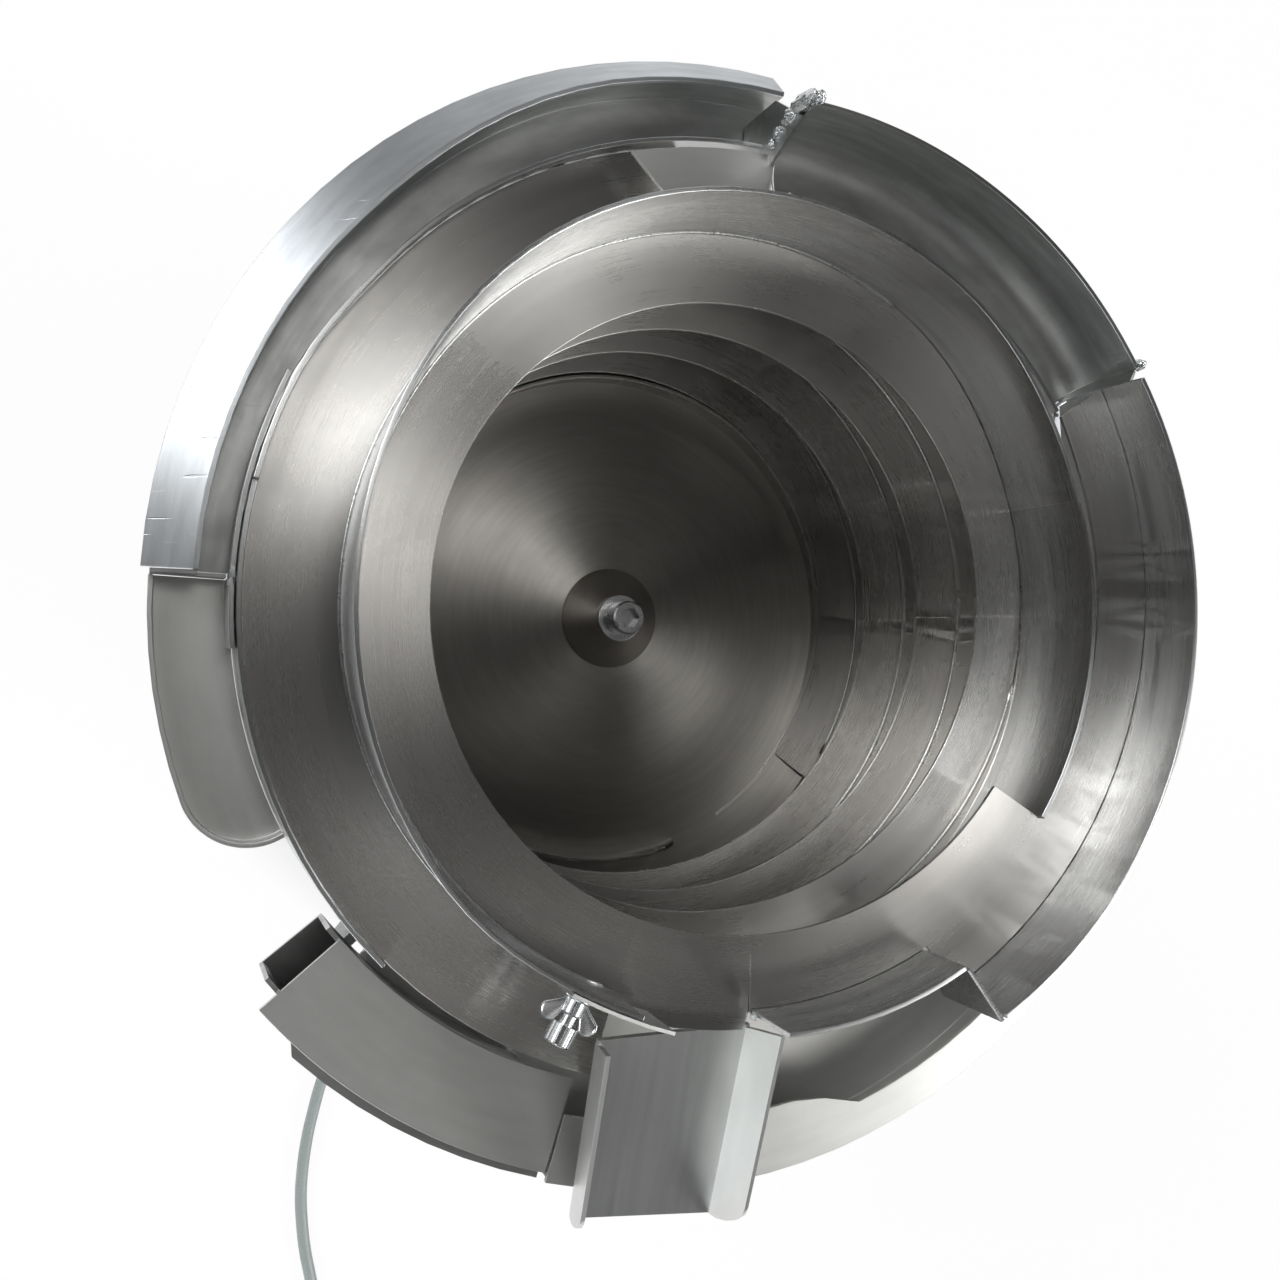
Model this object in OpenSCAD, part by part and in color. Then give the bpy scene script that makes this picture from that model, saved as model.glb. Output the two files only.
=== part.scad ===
// Vibratory bowl feeder: a cylindrical bowl with a helical track, an outer
// sorting lane, return trays and a discharge chute, on a leaf-spring drive.
// Origin: on the bowl's axis, in the plane the feet stand on. The chute
// discharges towards -Y. Angles run anticlockwise from +X, as the track climbs.

/* [Bowl] */
// Inside radius of the bowl wall
bowl_r = 163; // [140:1:180]
// Thickness of the stainless sheet
sheet = 2; // [1.5:0.1:2.5]
// Thickness of the bowl floor
floor_t = 3; // [2:0.5:4]
// Height of the floor's crown above the ground
hub_z = 225; // [215:1:260]
// Fall of the cone floor from the crown to the wall
floor_fall = 21; // [12:1:24]

/* [Spiral track] */
// Width of the track
track_w = 26; // [18:1:32]
// Rise of the track in one turn
pitch = 54.5; // [52:0.5:56]
// Height of the track above the crown where it passes +X for the first time
start_lift = -11; // [-12:0.5:-9]
// Angle at which the first sheet leaves the floor
start_angle = -36; // [-37:1:-30]
// Angle at which the top sheet's inner strip stops
inner_end_angle = 326; // [320:1:330]
// Height of the strip that starts the track
riser_h = 14; // [10:1:18]

/* [Rim] */
// How far the top turn's wall stands outside the bowl wall
flare = 5; // [3:0.5:6]
// How far its upper edge leans out beyond its foot
lean = 4.5; // [2:0.5:6]
// Height of the rim above the crown where it starts
rim_low = 206; // [203:1:210]
// Highest point of the rim above the crown
rim_cap = 230; // [224:1:234]

/* [Outer lane] */
// From the inside of the bowl wall to the inside of the lane's wall
lane_w = 29; // [24:1:34]
// Top of the lane's wall above the crown
lane_top = 238; // [232:1:244]
// Angle at which the lane starts
lane_start = 299; // [296:1:302]
// Angle at which the lane meets the half-pipe
lane_end = 32; // [26:1:36]

/* [Half-pipe] */
// Inside radius of the half-pipe's section
pipe_r = 16; // [13:0.5:17]
// Height of the half-pipe's centre line above the crown
pipe_z = 197; // [192:1:200]
// Height of the wall on its outer side
pipe_wall = 22; // [14:1:28]
// Gap between the half-pipe and the bowl's top wall
pipe_gap = 4; // [3:0.5:6]
// Angle at which it ends
pipe_end = 86; // [80:1:88]

/* [Sorting band] */
// Height of the drop plate above the crown
drop_z = 180; // [176:1:184]
// Angle at which the drop plate ends
drop_end = 105; // [100:1:110]
// Height of the band above the crown
band_z = 163; // [160:1:166]
// Width of the band
band_w = 38; // [32:0.5:40]
// How much narrower the band is in its first part
band_taper = 3; // [0:0.5:5]
// Height of the lip on the band's outer edge
lip_h = 9; // [7:1:14]
// Height of the lip in its second part
lip_low = 5; // [3:1:6]
// Angle at which the lip steps down
lip_step = 166; // [160:1:170]
// Angle at which the lip ends
lip_end = 223; // [216:1:228]
// Angle at which the band ends
band_end = 252; // [246:1:254]

/* [Gutter and flange] */
// Width of the gutter's floor
gutter_w = 14; // [11:1:17]
// How much wider it is in its first part
gutter_widen = 7; // [4:1:8]
// Height of the gutter's floor above the crown
gutter_z = 150; // [146:1:153]
// Height of the gutter's wall
gutter_h = 18; // [12:1:22]
// Width of the sloping flange
flange_w = 21; // [16:0.5:26]
// Fall of the flange across its width
flange_fall = 14; // [8:1:18]
// Angle at which gutter and flange end
gutter_end = 176; // [172:1:178]

/* [Trays] */
// Width of the left tray
tray_w = 32; // [26:1:35]
// Height of the left tray above the crown
tray_z = 134; // [124:1:138]
// Height of the tray's rim
tray_rim = 9; // [5:1:12]
// Angle at which the left tray ends
tray_end = 206; // [203:1:208]
// Height of the catch plate and the pan above the crown
pan_z = 145; // [142:1:148]
// How far the pan stands outside the catch plate
pan_reach = 4; // [2:1:8]
// Width of the pan beside the chute
pan_w = 30; // [24:1:34]
// Width of the pan further round
pan_narrow = 17; // [12:1:20]
// Width of the catch plate
catch_w = 42; // [34:1:44]
// Gap between the band and the catch plate
catch_gap = 5; // [3:0.5:6]
// Depth of the return box below the catch plate
box_h = 30; // [22:1:34]

/* [Outlet] */
// Angle at which the rim stops before the outlet
outlet_start_angle = 247.5; // [246:0.5:249]
// Angle at which the wall starts again after it
outlet_end_angle = 269; // [267:0.5:272]
// How far the outlet's lip stands outside the rim
outlet_reach = 8; // [5:1:9]

/* [Chute] */
// Inside width of the chute
chute_w = 65; // [50:1:70]
// Centre line of the chute, beside the bowl's axis
chute_x = -34; // [-40:1:-30]
// Length of the chute along its floor
chute_len = 106; // [90:1:120]
// Slope of the chute below the horizontal
chute_slope = 23; // [15:1:28]
// Height of the chute's side walls
chute_wall = 25; // [16:1:28]
// Lean of the side walls outwards
wall_lean = 11; // [0:1:20]
// How much longer the chute's floor is on its right
end_skew = 10; // [0:1:14]
// Height of the chute's inner end above the crown
chute_z = 185; // [180:1:187]

/* [Gate] */
// Height of the sliding gate plate
gate_h = 32; // [26:1:34]
// Thread diameter of the gate's stud
stud_d = 6; // [5:1:8]
// Length of the stud
stud_len = 22; // [18:1:28]
// Span of the wing nut
wing_span = 30; // [26:1:34]

/* [Centre bolt] */
// Thread diameter of the centre bolt
bolt_d = 12; // [10:1:14]
// Radius of the conical clamp disc
disc_r = 27.5; // [24:0.5:32]
// Height of the clamp disc
disc_h = 17; // [12:1:20]

/* [Drive] */
// Radius of the heavy base plate
base_r = 145; // [140:1:155]
// Thickness of the base plate
base_t = 25; // [20:1:30]
// Height of the rubber feet
foot_h = 22; // [16:1:28]
// Radius of a rubber foot
foot_r = 22; // [18:1:24]
// Radius of the circle the feet stand on
foot_pcd_r = 110; // [104:1:116]
// Radius of the threaded hole in each foot
foot_hole_r = 4; // [3:0.5:5]
// Radius of the drive's top plate
top_r = 138; // [136:1:150]
// Thickness of the top plate
top_t = 18; // [14:1:20]
// Radius of the turned base under the bowl floor
adapter_r = 130; // [110:1:135]
// Tilt of the leaf springs from the vertical
spring_tilt = 20; // [15:1:22]
// Width of a leaf
leaf_w = 50; // [40:1:52]
// Thickness of a leaf and of a spacer
leaf_t = 3; // [2:0.5:3.5]
// Length of a leaf
leaf_len = 124; // [118:1:126]
// Radius at which the spring packs stand
spring_r = 100; // [96:1:102]
// Thread diameter of the clamp screws
clamp_d = 8; // [6:1:8]
// Side of the electromagnet's core
core_w = 66; // [56:1:70]
// Depth of the electromagnet's core
core_dp = 50; // [40:1:54]
// Height of the electromagnet's core
core_h = 50; // [44:1:56]
// Air gap between core and armature
air_gap = 2; // [1:0.5:3]

/* [Lead] */
// Outside diameter of the lead
lead_d = 8; // [6:0.5:9]
// Direction in which the lead leaves the base plate
lead_angle = 248; // [244:1:252]

/* [Hidden] */
$fn = 96;

steel = [0.72, 0.72, 0.71];
bright = [0.80, 0.82, 0.84];
dark_steel = [0.30, 0.28, 0.26];
black = [0.08, 0.08, 0.08];
rubber = [0.05, 0.05, 0.05];
grey = [0.55, 0.57, 0.57];
copper = [0.55, 0.30, 0.12];

clear = 0.3;                       // between curved sheets that lie against each other
step = 4;                          // degrees between sections of a swept sheet
turn = 360;
sharp = 0.2;                       // degrees over which an outline steps sideways

// Radii
track_in = bowl_r - track_w;
shell_out = bowl_r + sheet;
crown_r = disc_r + 0.5;
lane_r = bowl_r + lane_w;
rim_out = bowl_r + flare + sheet;
pipe_c = rim_out + pipe_gap + sheet + pipe_r;
band_in = rim_out + clear;
band_out = band_in + band_w;
lip_r = band_out + clear;
outside_lip = lip_r + sheet + clear;
gutter_r = outside_lip + gutter_w;
flange_r = gutter_r + flange_w;
tray_r = outside_lip + tray_w;
catch_in = lip_r + sheet + catch_gap;
catch_out = catch_in + catch_w;
pan_r = catch_out + pan_reach;

// Angles
gate_a = 237;
gate_b = 252;
stud_a = 241;
flare_a = 18.5;
flare_b = 58.5;
lean_a = 60;
lean_b = 140;
back_a = 215;
back_b = 245;
rise_b = 180;
widen_a = 102;
widen_b = 138;
taper_a = 138;
taper_b = 154;

// Heights
shell_h = start_lift + pitch * (3 + (flare_a - 2) / turn) - sheet;    // the flared turn runs just above it
base_top = foot_h + base_t;
adapter_z = hub_z - floor_fall - floor_t - 1;
top_z = adapter_z - top_t;
spring_mid = (base_top + top_z) / 2;

// Height of the track's upper face at an angle counted from its first pass of +X
function track_z(a) = hub_z + start_lift + pitch * a / turn;
function floor_z(r) = r < crown_r ? hub_z
    : hub_z - floor_fall * (r - crown_r) / (bowl_r - crown_r);
function blend(a, a0, a1) = let (t = min(1, max(0, (a - a0) / (a1 - a0)))) t * t * (3 - 2 * t);
// Inside radius of the rim wall's foot and of its upper edge, at an angle from -61 to 360
function rim_r(a) = bowl_r + flare * blend(a, flare_a, flare_b);
function rim_edge(a) = rim_r(a) + lean * (blend(a, lean_a, lean_b) - blend(a, back_a, back_b));
function rim_top(a) = hub_z + rim_low + (rim_cap - rim_low) * blend(a, flare_a, rise_b);
// Height above which the rim wall leans, and its inside radius at a height
function bend_z(a) = 1 + max(hub_z + shell_h, track_z(3 * turn + a));
function wall_r(a, z) = rim_r(a) + (rim_edge(a) - rim_r(a)) * max(0, (z - bend_z(a)) / (rim_top(a) - bend_z(a)));
// Outside radius of the band, and how much wider the gutter is at an angle
function band_edge(a) = band_out - band_taper * (1 - blend(a, taper_a, taper_b));
function widen(a) = gutter_widen * (1 - blend(a, widen_a, widen_b));
function steps(a0, a1) = let (n = ceil((a1 - a0) / step)) [for (i = [0:n]) a0 + (a1 - a0) * i / n];

// Solid swept round the axis through sections that a function gives at each angle.
// A section lists its underside outwards, then its upper side inwards.
module round_sweep(angles, section) {
    m = len(section(angles[0]));
    n = len(angles);
    pts = [for (a = angles) for (q = section(a)) [q.x * cos(a), q.x * sin(a), q.y]];
    sides = [for (i = [0:n - 2]) for (j = [0:m - 1]) let (k = (j + 1) % m)
        each [[i * m + j, (i + 1) * m + j, (i + 1) * m + k], [i * m + j, (i + 1) * m + k, i * m + k]]];
    near = [for (j = [0:m / 2 - 2]) each [[j, j + 1, m - 2 - j], [j, m - 2 - j, m - 1 - j]]];
    far = [for (t = near) [for (k = [2, 1, 0]) (n - 1) * m + t[k]]];
    polyhedron(pts, concat(near, sides, far), convexity = 8);
}

// Ring sector of rectangular section
module ring(a0, a1, r0, r1, z0, z1) {
    rotate([0, 0, a0]) rotate_extrude(angle = a1 - a0)
        translate([r0, z0]) square([r1 - r0, z1 - z0]);
}

// Vertical plate standing radially, its outline given in radius and height
module radial_plate(a, t, outline) {
    rotate([0, 0, a]) rotate([90, 0, 0]) linear_extrude(t, center = true) polygon(outline);
}

// ---------------------------------------------------------------- bowl
module bowl_floor() {
    r = bowl_r - clear;
    color(dark_steel) rotate_extrude() polygon([
        [bolt_d / 2 + clear, hub_z], [crown_r, hub_z], [r, floor_z(r)], [r, floor_z(r) - floor_t],
        [crown_r, hub_z - floor_t], [bolt_d / 2 + clear, hub_z - floor_t]]);
}

module bowl_shell() {
    color(steel) difference() {
        translate([0, 0, adapter_z]) cylinder(r = shell_out, h = hub_z + shell_h - adapter_z);
        translate([0, 0, adapter_z - 1]) cylinder(r = bowl_r, h = hub_z + shell_h - adapter_z + 2);
    }
}

// Turned base that carries the bowl on the drive
module bowl_base() {
    color(grey) rotate_extrude() polygon([
        [bolt_d / 2 + clear, adapter_z], [adapter_r, adapter_z],
        [adapter_r, floor_z(adapter_r) - floor_t - clear],
        [crown_r, hub_z - floor_t - clear], [crown_r - 1, hub_z - floor_t],
        [bolt_d / 2 + clear, hub_z - floor_t]]);
}

washer_r = bolt_d + 0.5;
washer_t = 2.5;
module clamp_disc() {
    color(dark_steel) rotate_extrude() polygon([
        [bolt_d / 2 + clear, hub_z], [disc_r, hub_z], [disc_r, hub_z + 1],
        [washer_r + 0.5, hub_z + disc_h], [bolt_d / 2 + clear, hub_z + disc_h]]);
}

module washer(r, z, t) {
    translate([0, 0, z]) difference() {
        cylinder(r = r, h = t);
        translate([0, 0, -1]) cylinder(d = bolt_d + 2 * clear, h = t + 2);
    }
}

module flat_washer() color(bright) washer(washer_r, hub_z + disc_h, washer_t);
module spring_washer() color(bright) washer(washer_r - 3.5, hub_z + disc_h + washer_t, washer_t);

head_z = hub_z + disc_h + 2 * washer_t;
module centre_bolt() {
    key = bolt_d * 0.83;
    color(bright) difference() {
        union() {
            translate([0, 0, head_z]) cylinder(d = 1.5 * bolt_d, h = bolt_d - 1);
            translate([0, 0, head_z + bolt_d - 1]) cylinder(d1 = 1.5 * bolt_d, d2 = 1.5 * bolt_d - 2, h = 1);
            translate([0, 0, top_z + 3]) cylinder(d = bolt_d, h = head_z - top_z - 3);
        }
        translate([0, 0, head_z + bolt_d / 2]) cylinder(d = key / cos(30), h = bolt_d, $fn = 6);
    }
}

// ---------------------------------------------------------------- spiral
// Strip on the floor that the first turn starts from, with a rounded far end
riser_in = track_in - clear - sheet;
riser_a = start_angle - 22;
riser_b = 289;
riser_bow = 8;                     // degrees over which its far end rounds down
module start_riser() {
    foot = floor_z(riser_in + sheet) + clear;
    top = function (a) let (
            up = track_z(a), cap = hub_z + riser_h - floor_fall * 0.8, left = riser_in * (riser_b - a) * PI / 180,
            tip = a < start_angle ? foot + 0.5 + (up - foot) * (a - riser_a) / (start_angle - riser_a) : up,
            level = max(foot + 0.5, min(tip, cap)), bow = min(1, left / riser_h))
        foot + 1 + (level - foot - 1) * sqrt(max(0, 1 - pow(1 - bow, 2)));
    section = function (a) let (z = max(foot + 0.4, top(a)))
        [[riser_in, foot], [riser_in + sheet, foot], [riser_in + sheet, z], [riser_in, z]];
    color(steel) round_sweep(concat(steps(riser_a, riser_b - riser_bow),
        [for (a = [riser_b - riser_bow + 1:riser_b]) a]), section);
}

// One turn of the track; its underside keeps off the floor where it starts
module track(a0, a1) {
    section = function (a) let (z = track_z(a), r = bowl_r - clear)
        [[track_in, max(z - sheet, floor_z(track_in) + clear)],
         [r, max(z - sheet, floor_z(r) + clear)], [r, z], [track_in, z]];
    color(steel) round_sweep(steps(a0, a1), section);
}

module track_1() track(start_angle, turn);
module track_2() track(turn, 2 * turn);
module track_3() track(2 * turn, 3 * turn);

// Top turn: widens to the rim, dips over the outlet and runs out into the lane
lane_stop = turn + lane_end;
module top_track() {
    inner = function (a) a < inner_end_angle ? track_in : rim_r(a - turn) + sheet + clear;
    at_outlet = function (a) a > outlet_start_angle + sharp && a < outlet_end_angle - sharp;
    outer = function (a) a >= lane_start ? lane_r - clear
        : at_outlet(a) ? rim_r(a) + sheet + outlet_reach : rim_r(a) - clear;
    section = function (a) let (
            z = track_z(3 * turn + a), r0 = inner(a), r2 = outer(a),
            r1 = at_outlet(a) ? rim_r(a) - clear : (r0 + r2) / 2, dip = at_outlet(a) ? 0.6 * outlet_reach : 0)
        [[r0, z - sheet], [r1, z - sheet], [r2, z - sheet - dip], [r2, z - dip], [r1, z], [r0, z]];
    angles = concat(
        steps(0, outlet_start_angle + sharp), steps(outlet_start_angle + 2 * sharp, outlet_end_angle - 2 * sharp),
        steps(outlet_end_angle - sharp, lane_start - sharp), steps(lane_start, inner_end_angle - sharp),
        steps(inner_end_angle, lane_stop));
    color(steel) round_sweep(angles, section);
}

// Wall of the top turn: upright at its foot, leaning out at its edge
module rim_part(angles, foot, top) {
    section = function (a) let (r = rim_r(a), e = rim_edge(a), z0 = foot(a), z1 = top(a), k = bend_z(a))
        [[r + sheet, z0], [r + sheet, k], [e + sheet, z1], [e, z1], [r, k], [r, z0]];
    color(bright) round_sweep(angles, section);
}

// From the lane's start, under its sheet, and on up to where the flare begins
module upper_wall() rim_part(
    concat(steps(lane_start - turn, inner_end_angle - turn - sharp), steps(inner_end_angle - turn, flare_a)),
    function (a) hub_z + shell_h,
    function (a) a < inner_end_angle - turn ? track_z(a + 4 * turn) - sheet - clear : rim_top(a));

module rim_wall() rim_part(steps(flare_a, outlet_start_angle), function (a) hub_z + shell_h, function (a) rim_top(a));
module outlet_wall() rim_part(steps(outlet_end_angle, lane_start - 1),
    function (a) track_z(3 * turn + a) - 3 * sheet, function (a) rim_top(a));

// ---------------------------------------------------------------- outer lane
module lane_wall() {
    color(bright) ring(lane_start - turn, lane_end, lane_r, lane_r + sheet,
        track_z(3 * turn + lane_start) - 2 * sheet, hub_z + lane_top);
}

module lane_end_plate() {
    r0 = rim_r(lane_start) + sheet + clear;
    low = track_z(3 * turn + lane_start) - 2 * sheet;
    color(steel) rotate([0, 0, lane_start - 0.15]) translate([r0, -sheet - 0.5, 0])
        rotate([90, 0, 0]) mirror([0, 0, 1]) linear_extrude(sheet) polygon([
            [0, low], [lane_r + sheet - r0, low], [lane_r + sheet - r0, hub_z + lane_top],
            [0, hub_z + rim_cap]]);
}

// Half-pipe that turns the parts over, with a plain wall outside
module half_pipe() {
    z = hub_z + pipe_z;
    color(steel) rotate([0, 0, lane_end]) rotate_extrude(angle = pipe_end - lane_end) {
        difference() {
            translate([pipe_c, z]) circle(r = pipe_r + sheet);
            translate([pipe_c, z]) circle(r = pipe_r);
            translate([pipe_c - 2 * pipe_r, z]) square([4 * pipe_r, 2 * pipe_r]);
        }
        translate([pipe_c + pipe_r, z]) square([sheet, pipe_wall]);
        translate([pipe_c - pipe_r - sheet, z]) square([sheet, 1.5 * sheet]);
    }
}

// Tab that holds the half-pipe's inner edge to the bowl wall
module pipe_tab() {
    a = lane_end + 10;
    z = hub_z + pipe_z;
    r0 = rim_edge(a) + sheet + clear;
    r1 = pipe_c - pipe_r - sheet - clear;
    color(bright) radial_plate(a, sheet, [
        [r0, z - 3 * sheet], [r1, z - 3 * sheet], [r1, z + 2 * sheet], [r0, z + 2 * sheet]]);
}

// ---------------------------------------------------------------- sorting band
// Plate after the half-pipe, cut on a slant where the parts drop off it
slant = 5.5;
module drop_plate() {
    r1 = band_out - band_taper - 2.5 * sheet;
    a1 = drop_end - slant;
    arc = steps(pipe_end, a1);
    out = steps(pipe_end, drop_end);
    color(steel) translate([0, 0, hub_z + drop_z - sheet]) linear_extrude(sheet) polygon(concat(
        [for (a = arc) (wall_r(a, hub_z + drop_z) + sheet + clear) * [cos(a), sin(a)]],
        [for (i = [len(out) - 1:-1:0]) r1 * [cos(out[i]), sin(out[i])]]));
}

module sorting_band() {
    section = function (a) [[band_in, hub_z + band_z - sheet], [band_edge(a), hub_z + band_z - sheet],
        [band_edge(a), hub_z + band_z], [band_in, hub_z + band_z]];
    color(steel) round_sweep(steps(drop_end - 8, band_end), section);
}

module band_lip() {
    foot = hub_z + gutter_z - sheet;
    section = function (a) let (r = band_edge(a) + clear, z = hub_z + band_z + (a < lip_step ? lip_h : lip_low))
        [[r, foot], [r + sheet, foot], [r + sheet, z], [r, z]];
    color(bright) round_sweep(concat(steps(drop_end - 20, lip_step - sharp), steps(lip_step, lip_end)), section);
}

module gutter() {
    z = hub_z + gutter_z;
    section = function (a) let (r0 = band_edge(a) + sheet + 2 * clear, r = gutter_r + widen(a)) [
        [r0, z - sheet], [r, z - sheet], [r + sheet, z - sheet], [r + sheet, z + gutter_h], [r, z + gutter_h],
        [r, z], [(r0 + r) / 2, z], [r0, z]];
    color(steel) round_sweep(steps(pipe_end - 2, gutter_end), section);
}

module flange() {
    z = hub_z + gutter_z + gutter_h;
    section = function (a) let (r = gutter_r + widen(a)) [
        [r, z], [r + sheet, z], [flange_r, z - flange_fall], [flange_r, z - flange_fall + sheet],
        [r + sheet, z + sheet], [r, z + sheet]];
    color(bright) round_sweep(steps(pipe_end - 2, gutter_end), section);
}

// Guard strip that stands in the gutter beside the lip and runs on over the left tray
strip_start = 153.5;
strip_end = 184;
module guard_strip() {
    r = outside_lip + clear;
    z = hub_z + band_z + lip_low;
    color(steel) {
        ring(strip_start, gutter_end + 0.5, r, r + sheet, hub_z + gutter_z, z);
        ring(gutter_end + 0.5, strip_end, r, r + sheet, hub_z + tray_z, z);
    }
}

// ---------------------------------------------------------------- trays
tray_corner = 28;
module tray_outline(inset) {
    offset(r = tray_corner - inset) offset(delta = -tray_corner) intersection() {
        circle(r = tray_r);
        rotate(gutter_end - 12) square(2 * tray_r);
        rotate(tray_end - 180) translate([-2 * tray_r, 0]) square([4 * tray_r, 2 * tray_r]);
    }
}

module tray_slice(inset) {
    difference() {
        intersection() {
            tray_outline(inset);
            rotate(gutter_end + 0.5) square(2 * tray_r);
        }
        circle(r = outside_lip);
    }
}

module left_tray() {
    z = hub_z + tray_z;
    color(steel) {
        translate([0, 0, z - sheet]) linear_extrude(sheet) tray_slice(0);
        translate([0, 0, z]) linear_extrude(tray_rim) difference() {
            tray_slice(0);
            tray_outline(sheet);
        }
    }
}

// Wall under the lip that carries the left tray
module band_skirt() {
    z = hub_z + gutter_z - sheet;
    color(bright) ring(gutter_end, lip_end, lip_r, lip_r + sheet, z - box_h - 6, z);
}

catch_a = 219;
catch_span = 33;
catch_b = catch_a + catch_span;
module catch_plate() {
    z = hub_z + pan_z;
    color(steel) ring(catch_a, catch_b, catch_in, catch_out, z - sheet, z);
}

box_a = catch_a - 1.7;
box_b = catch_b - 6;
box_out = catch_out - 9;
ledge_a = box_a + 3.5;
module return_box() {
    z1 = hub_z + pan_z - sheet;
    z0 = z1 - box_h;
    color(steel) {
        ring(box_a, box_b, catch_in, box_out, z0, z0 + sheet);
        ring(lip_end + 1, box_b, shell_out + clear, catch_in + sheet, z0, z0 + sheet);
        ring(box_a, box_b, box_out - sheet, box_out, z0 + sheet, z1);
        ring(box_a, box_b, catch_in, catch_in + sheet, z0 + sheet, z1);
        // Ledge along its outer wall, drawn in to nothing at the open end
        translate([0, 0, z1 - 4 * sheet]) linear_extrude(sheet) polygon(concat(
            [for (a = concat([ledge_a], steps(ledge_a + 4, catch_b))) (a > ledge_a ? pan_r + 1 : box_out - sheet / 2) * [cos(a), sin(a)]],
            [for (a = [catch_b:-step:ledge_a]) (box_out - sheet / 2) * [cos(a), sin(a)]]));
    }
}

pan_start = catch_b + 0.3;
pan_step = 283;
pan_stop = 388;
function pan_in(a) = pan_r - pan_w + (pan_w - pan_narrow) * min(1, max(0, (a - pan_step) / 4));
module pan() {
    z = hub_z + pan_z;
    z0 = z - sheet - box_h;
    arc = steps(pan_start, pan_stop);
    color(steel) {
        translate([0, 0, z - sheet]) linear_extrude(sheet) polygon(concat(
            [for (a = arc) pan_r * [cos(a), sin(a)]],
            [for (i = [len(arc) - 1:-1:0]) pan_in(arc[i]) * [cos(arc[i]), sin(arc[i])]]));
        ring(pan_start, pan_stop, pan_r - 2 * sheet, pan_r - sheet, z0 + sheet, z - sheet);
        ring(box_b + 0.3, pan_stop + 0.5, shell_out + clear, pan_r - 0.5 * sheet, z0, z0 + sheet);
    }
}

// ---------------------------------------------------------------- chute
chute_y = rim_out + outlet_reach - 1;
module chute() {
    half = chute_w / 2;
    color(bright) translate([chute_x, -chute_y, hub_z + chute_z]) rotate([chute_slope, 0, 0]) rotate([0, 0, -90]) {
        translate([0, 0, -sheet]) linear_extrude(sheet) polygon([
            [0, -half - sheet], [chute_len - end_skew, -half - sheet], [chute_len, half + sheet], [0, half + sheet]]);
        for (s = [-1, 1]) {
            far = chute_len + (s - 1) * end_skew / 2;
            w = chute_wall;
            translate([0, s * half, -sheet]) rotate([-s * wall_lean, 0, 0]) translate([0, s * sheet / 2, 0])
                rotate([90, 0, 0]) linear_extrude(sheet, center = true) polygon([
                    [0.1 * w, 0], [far, 0], [far, 0.1 * w], [far - 0.08 * w, 0.3 * w], [far - 0.28 * w, 0.58 * w],
                    [far - 0.52 * w, 0.82 * w], [far - 0.75 * w, 0.96 * w], [far - 0.95 * w, w], [-0.44 * w, w]]);
        }
    }
}

// ---------------------------------------------------------------- gate
stud_drop = 22;                     // stud below the rim's highest edge
stud_z = hub_z + rim_cap - stud_drop;
function gate_r(a) = rim_edge(a) + sheet + clear;
module gate_plate() {
    t = sheet * 0.75;
    z1 = hub_z + rim_cap + 2;
    section = function (a) let (r = gate_r(a)) [[r, z1 - gate_h], [r + t, z1 - gate_h], [r + t, z1], [r, z1]];
    color(bright) difference() {
        round_sweep(steps(gate_a, gate_b), section);
        for (s = [-1, 0, 1]) translate([0, 0, stud_z]) rotate([0, 0, stud_a + s * 1.2]) rotate([0, 90, 0])
            cylinder(d = stud_d + 1, h = 2 * bowl_r, $fn = 32);
    }
}

module gate_stud() {
    color(bright) translate([0, 0, stud_z]) rotate([0, 0, stud_a]) rotate([0, 90, 0])
        translate([0, 0, wall_r(stud_a, stud_z) + sheet + 0.1]) cylinder(d = stud_d, h = stud_len);
}

module wing_nut() {
    boss = 0.36 * wing_span;
    r0 = gate_r(stud_a) + sheet * 0.75 + 0.2;
    color(bright) translate([0, 0, stud_z]) rotate([0, 0, stud_a]) rotate([0, 90, 0]) translate([0, 0, r0])
    rotate([0, 0, 85]) difference() {
        union() {
            cylinder(d1 = boss + 2, d2 = boss, h = boss * 0.8);
            for (s = [-1, 1]) hull() {
                translate([s * boss * 0.3, 0, boss * 0.25]) rotate([90, 0, 0])
                    cylinder(r = 1.5, h = 2.4, center = true, $fn = 24);
                translate([s * (wing_span / 2 - 4), 0, boss]) rotate([90, 0, 0])
                    cylinder(r = 4, h = 1.8, center = true, $fn = 32);
            }
        }
        translate([0, 0, -1]) cylinder(d = stud_d + clear, h = wing_span);
    }
}

// ---------------------------------------------------------------- gussets
gusset_t = 5;
gusset_h = 50;
module gusset(a, r1, z, h, r0 = shell_out + clear) {
    radial_plate(a, gusset_t, [[r0, z], [r1, z], [r1, z - 6], [r0 + 6, z - h], [r0, z - h]]);
}

module pan_gussets() {
    color(grey) for (a = [278, 318, 368]) gusset(a, pan_r - 2 * sheet, hub_z + pan_z - sheet - box_h, gusset_h);
}

module box_gussets() {
    color(grey) for (a = [222, 240]) gusset(a, catch_out - 8, hub_z + pan_z - sheet - box_h, gusset_h);
}

module band_gussets() {
    color(grey) for (a = [112, 150, 190]) gusset(a, band_out - 3, hub_z + band_z - sheet, gusset_h, band_in);
}

module pipe_gussets() {
    z = hub_z + pipe_z - pipe_r - sheet - clear;
    color(grey) for (a = [38, 59, 80]) gusset(a, pipe_c + 3, z, gusset_h - 5, wall_r(a, z) + sheet + clear);
}

// ---------------------------------------------------------------- drive
spring_angles = [30, 150, 270];
pack_t = 5 * leaf_t;
grip = 24;                         // length of leaf held at each end
clamp_t = 6;
screw_y = leaf_w / 2 - 12;

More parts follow.
